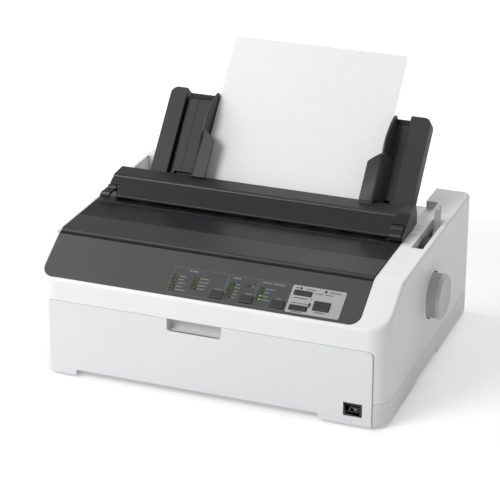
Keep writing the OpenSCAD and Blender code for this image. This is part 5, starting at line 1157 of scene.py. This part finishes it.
shell_metal, tree, shader = finish("nickel_plated_shell", "#B4B6B9", 0.3, Metallic=1.0)
place = add(tree, "ShaderNodeTexCoord", {}).outputs["Object"]
brushed = add(tree, "ShaderNodeMapping", {"Scale": (1, 1, 8)}, {"Vector": place})
streak = add(tree, "ShaderNodeTexNoise", {"Scale": 700.0, "Detail": 3.0}, {"Vector": brushed.outputs[0]})
gloss = add(tree, "ShaderNodeMapRange", {"From Min": 0.3, "From Max": 0.7, "To Min": 0.22, "To Max": 0.4}, {"Value": streak.outputs["Fac"]})
tint = add(tree, "ShaderNodeMix", {"data_type": "RGBA", 6: ink("#BABCBF"), 7: ink("#A6A9AD")}, {0: streak.outputs["Fac"]})
tree.links.new(tint.outputs[2], shader.inputs["Base Color"])
tree.links.new(gloss.outputs["Result"], shader.inputs["Roughness"])
coat(shell_metal, "interface_ports")
inlet_nylon = moulded("moulded_inlet_nylon", "#1B1B1C", "#171718", 0.42, 0.4, 0.25, 1.53)
coat(inlet_nylon, "ac_inlet")
port_x, port_z = -half_w + 62.4, 29.5
for name, x0, x1, high in (("parallel_tongue", port_x + 13.2, port_x + 56.8, 0.9), ("serial_bus_tongue", port_x + 77.6, port_x + 82.8, 1.5)):
    tongue = block(name, x0, rear - 10.8, port_z - high - 0.25, x1, rear - 1.4, port_z + high + 0.25)
    soften(tongue, 0.2)
    dress(tongue, inlet_nylon, "printer_case", "switch_black")
blades = []
for k, (dx, dz) in enumerate(((-7, 0), (0, 3), (7, 0))):
    x = half_w - 98 + dx
    blades.append(block("blade", x - 1.15, rear - 16, 44.1 + dz, x + 1.15, rear - 2.9, 48.5 + dz))
blades = gather(*blades)
soften(blades, 0.3)
dress(blades, shell_metal, "printer_case", "shaft_steel")
blades.name = "inlet_blades"
# ---------------------------------------------------------------------------
# The set: a pale floor, three soft lamps and a camera at the photograph's view.
# None of it belongs to the printer.
# ---------------------------------------------------------------------------

floor = plate("floor", -4000, -4000, 4000, 4000, -1, 0)
floor_paint, tree, shader = finish("white_sweep", "#F4F4F4", 0.9)
shader.inputs["Specular IOR Level"].default_value = 0.0
path = add(tree, "ShaderNodeLightPath", {})
seen = add(tree, "ShaderNodeMath", {"operation": "MAXIMUM"}, {0: path.outputs["Is Camera Ray"], 1: path.outputs["Is Glossy Ray"]})
seen = add(tree, "ShaderNodeMath", {"operation": "MAXIMUM"}, {0: seen.outputs[0], 1: path.outputs["Is Transmission Ray"]})
glow = add(tree, "ShaderNodeEmission", {"Color": (1, 1, 1, 1)})
lift = add(tree, "ShaderNodeMath", {"operation": "MULTIPLY", 1: 0.3}, {0: seen.outputs[0]})
tree.links.new(lift.outputs[0], glow.inputs["Strength"])
both = add(tree, "ShaderNodeAddShader", {}, {0: shader.outputs[0], 1: glow.outputs[0]})
tree.links.new(both.outputs[0], tree.nodes["Material Output"].inputs["Surface"])
floor.data.materials.append(floor_paint)

world = bpy.data.worlds.new("studio_air")
bpy.context.scene.world = world
world.use_nodes = True
tree = world.node_tree
air = tree.nodes["Background"]
path = add(tree, "ShaderNodeLightPath", {})
seen = add(tree, "ShaderNodeMath", {"operation": "MAXIMUM"}, {0: path.outputs["Is Camera Ray"], 1: path.outputs["Is Transmission Ray"]})
level = add(tree, "ShaderNodeMapRange", {"To Min": 0.35, "To Max": 1.0}, {"Value": seen.outputs[0]})
air.inputs["Color"].default_value = (1, 1, 1, 1)
tree.links.new(level.outputs["Result"], air.inputs["Strength"])


def lamp(name, x, y, z, size, watts, aim=(0, 0, 120)):
    let_go()
    bpy.ops.object.light_add(type="AREA", location=(x * MM, y * MM, z * MM))
    light = bpy.context.object
    light.name = name
    light.data.shape = "DISK"
    light.data.size = size * MM
    light.data.energy = watts
    light.rotation_euler = (Vector(aim) - Vector((x, y, z))).to_track_quat("-Z", "Y").to_euler()
    return light


lamp("key_lamp", -1100, -1700, 1700, 1300, 35)
lamp("side_lamp", -1900, 200, 1500, 1300, 19)
lamp("far_lamp", 300, 1700, 1700, 1300, 13)

# the photograph's view: 20.9 degrees to the right, 23.7 down, 2.33 m away
azimuth, elevation, reach = math.radians(20.9), math.radians(23.7), 2325.9
target = Vector((-10.6, -2.65, 115.0))
away = Vector((math.sin(azimuth) * math.cos(elevation), -math.cos(azimuth) * math.cos(elevation), math.sin(elevation)))
bpy.ops.object.camera_add(location=(target + away * reach) * MM)
camera = bpy.context.object
camera.rotation_euler = (-away).to_track_quat("-Z", "Y").to_euler()
camera.data.sensor_width = 36.0
camera.data.lens = 36.0 * 2014.93 / 500
camera.data.clip_end = 30.0
bpy.context.scene.camera = camera
bpy.context.scene.view_settings.view_transform = "Standard"
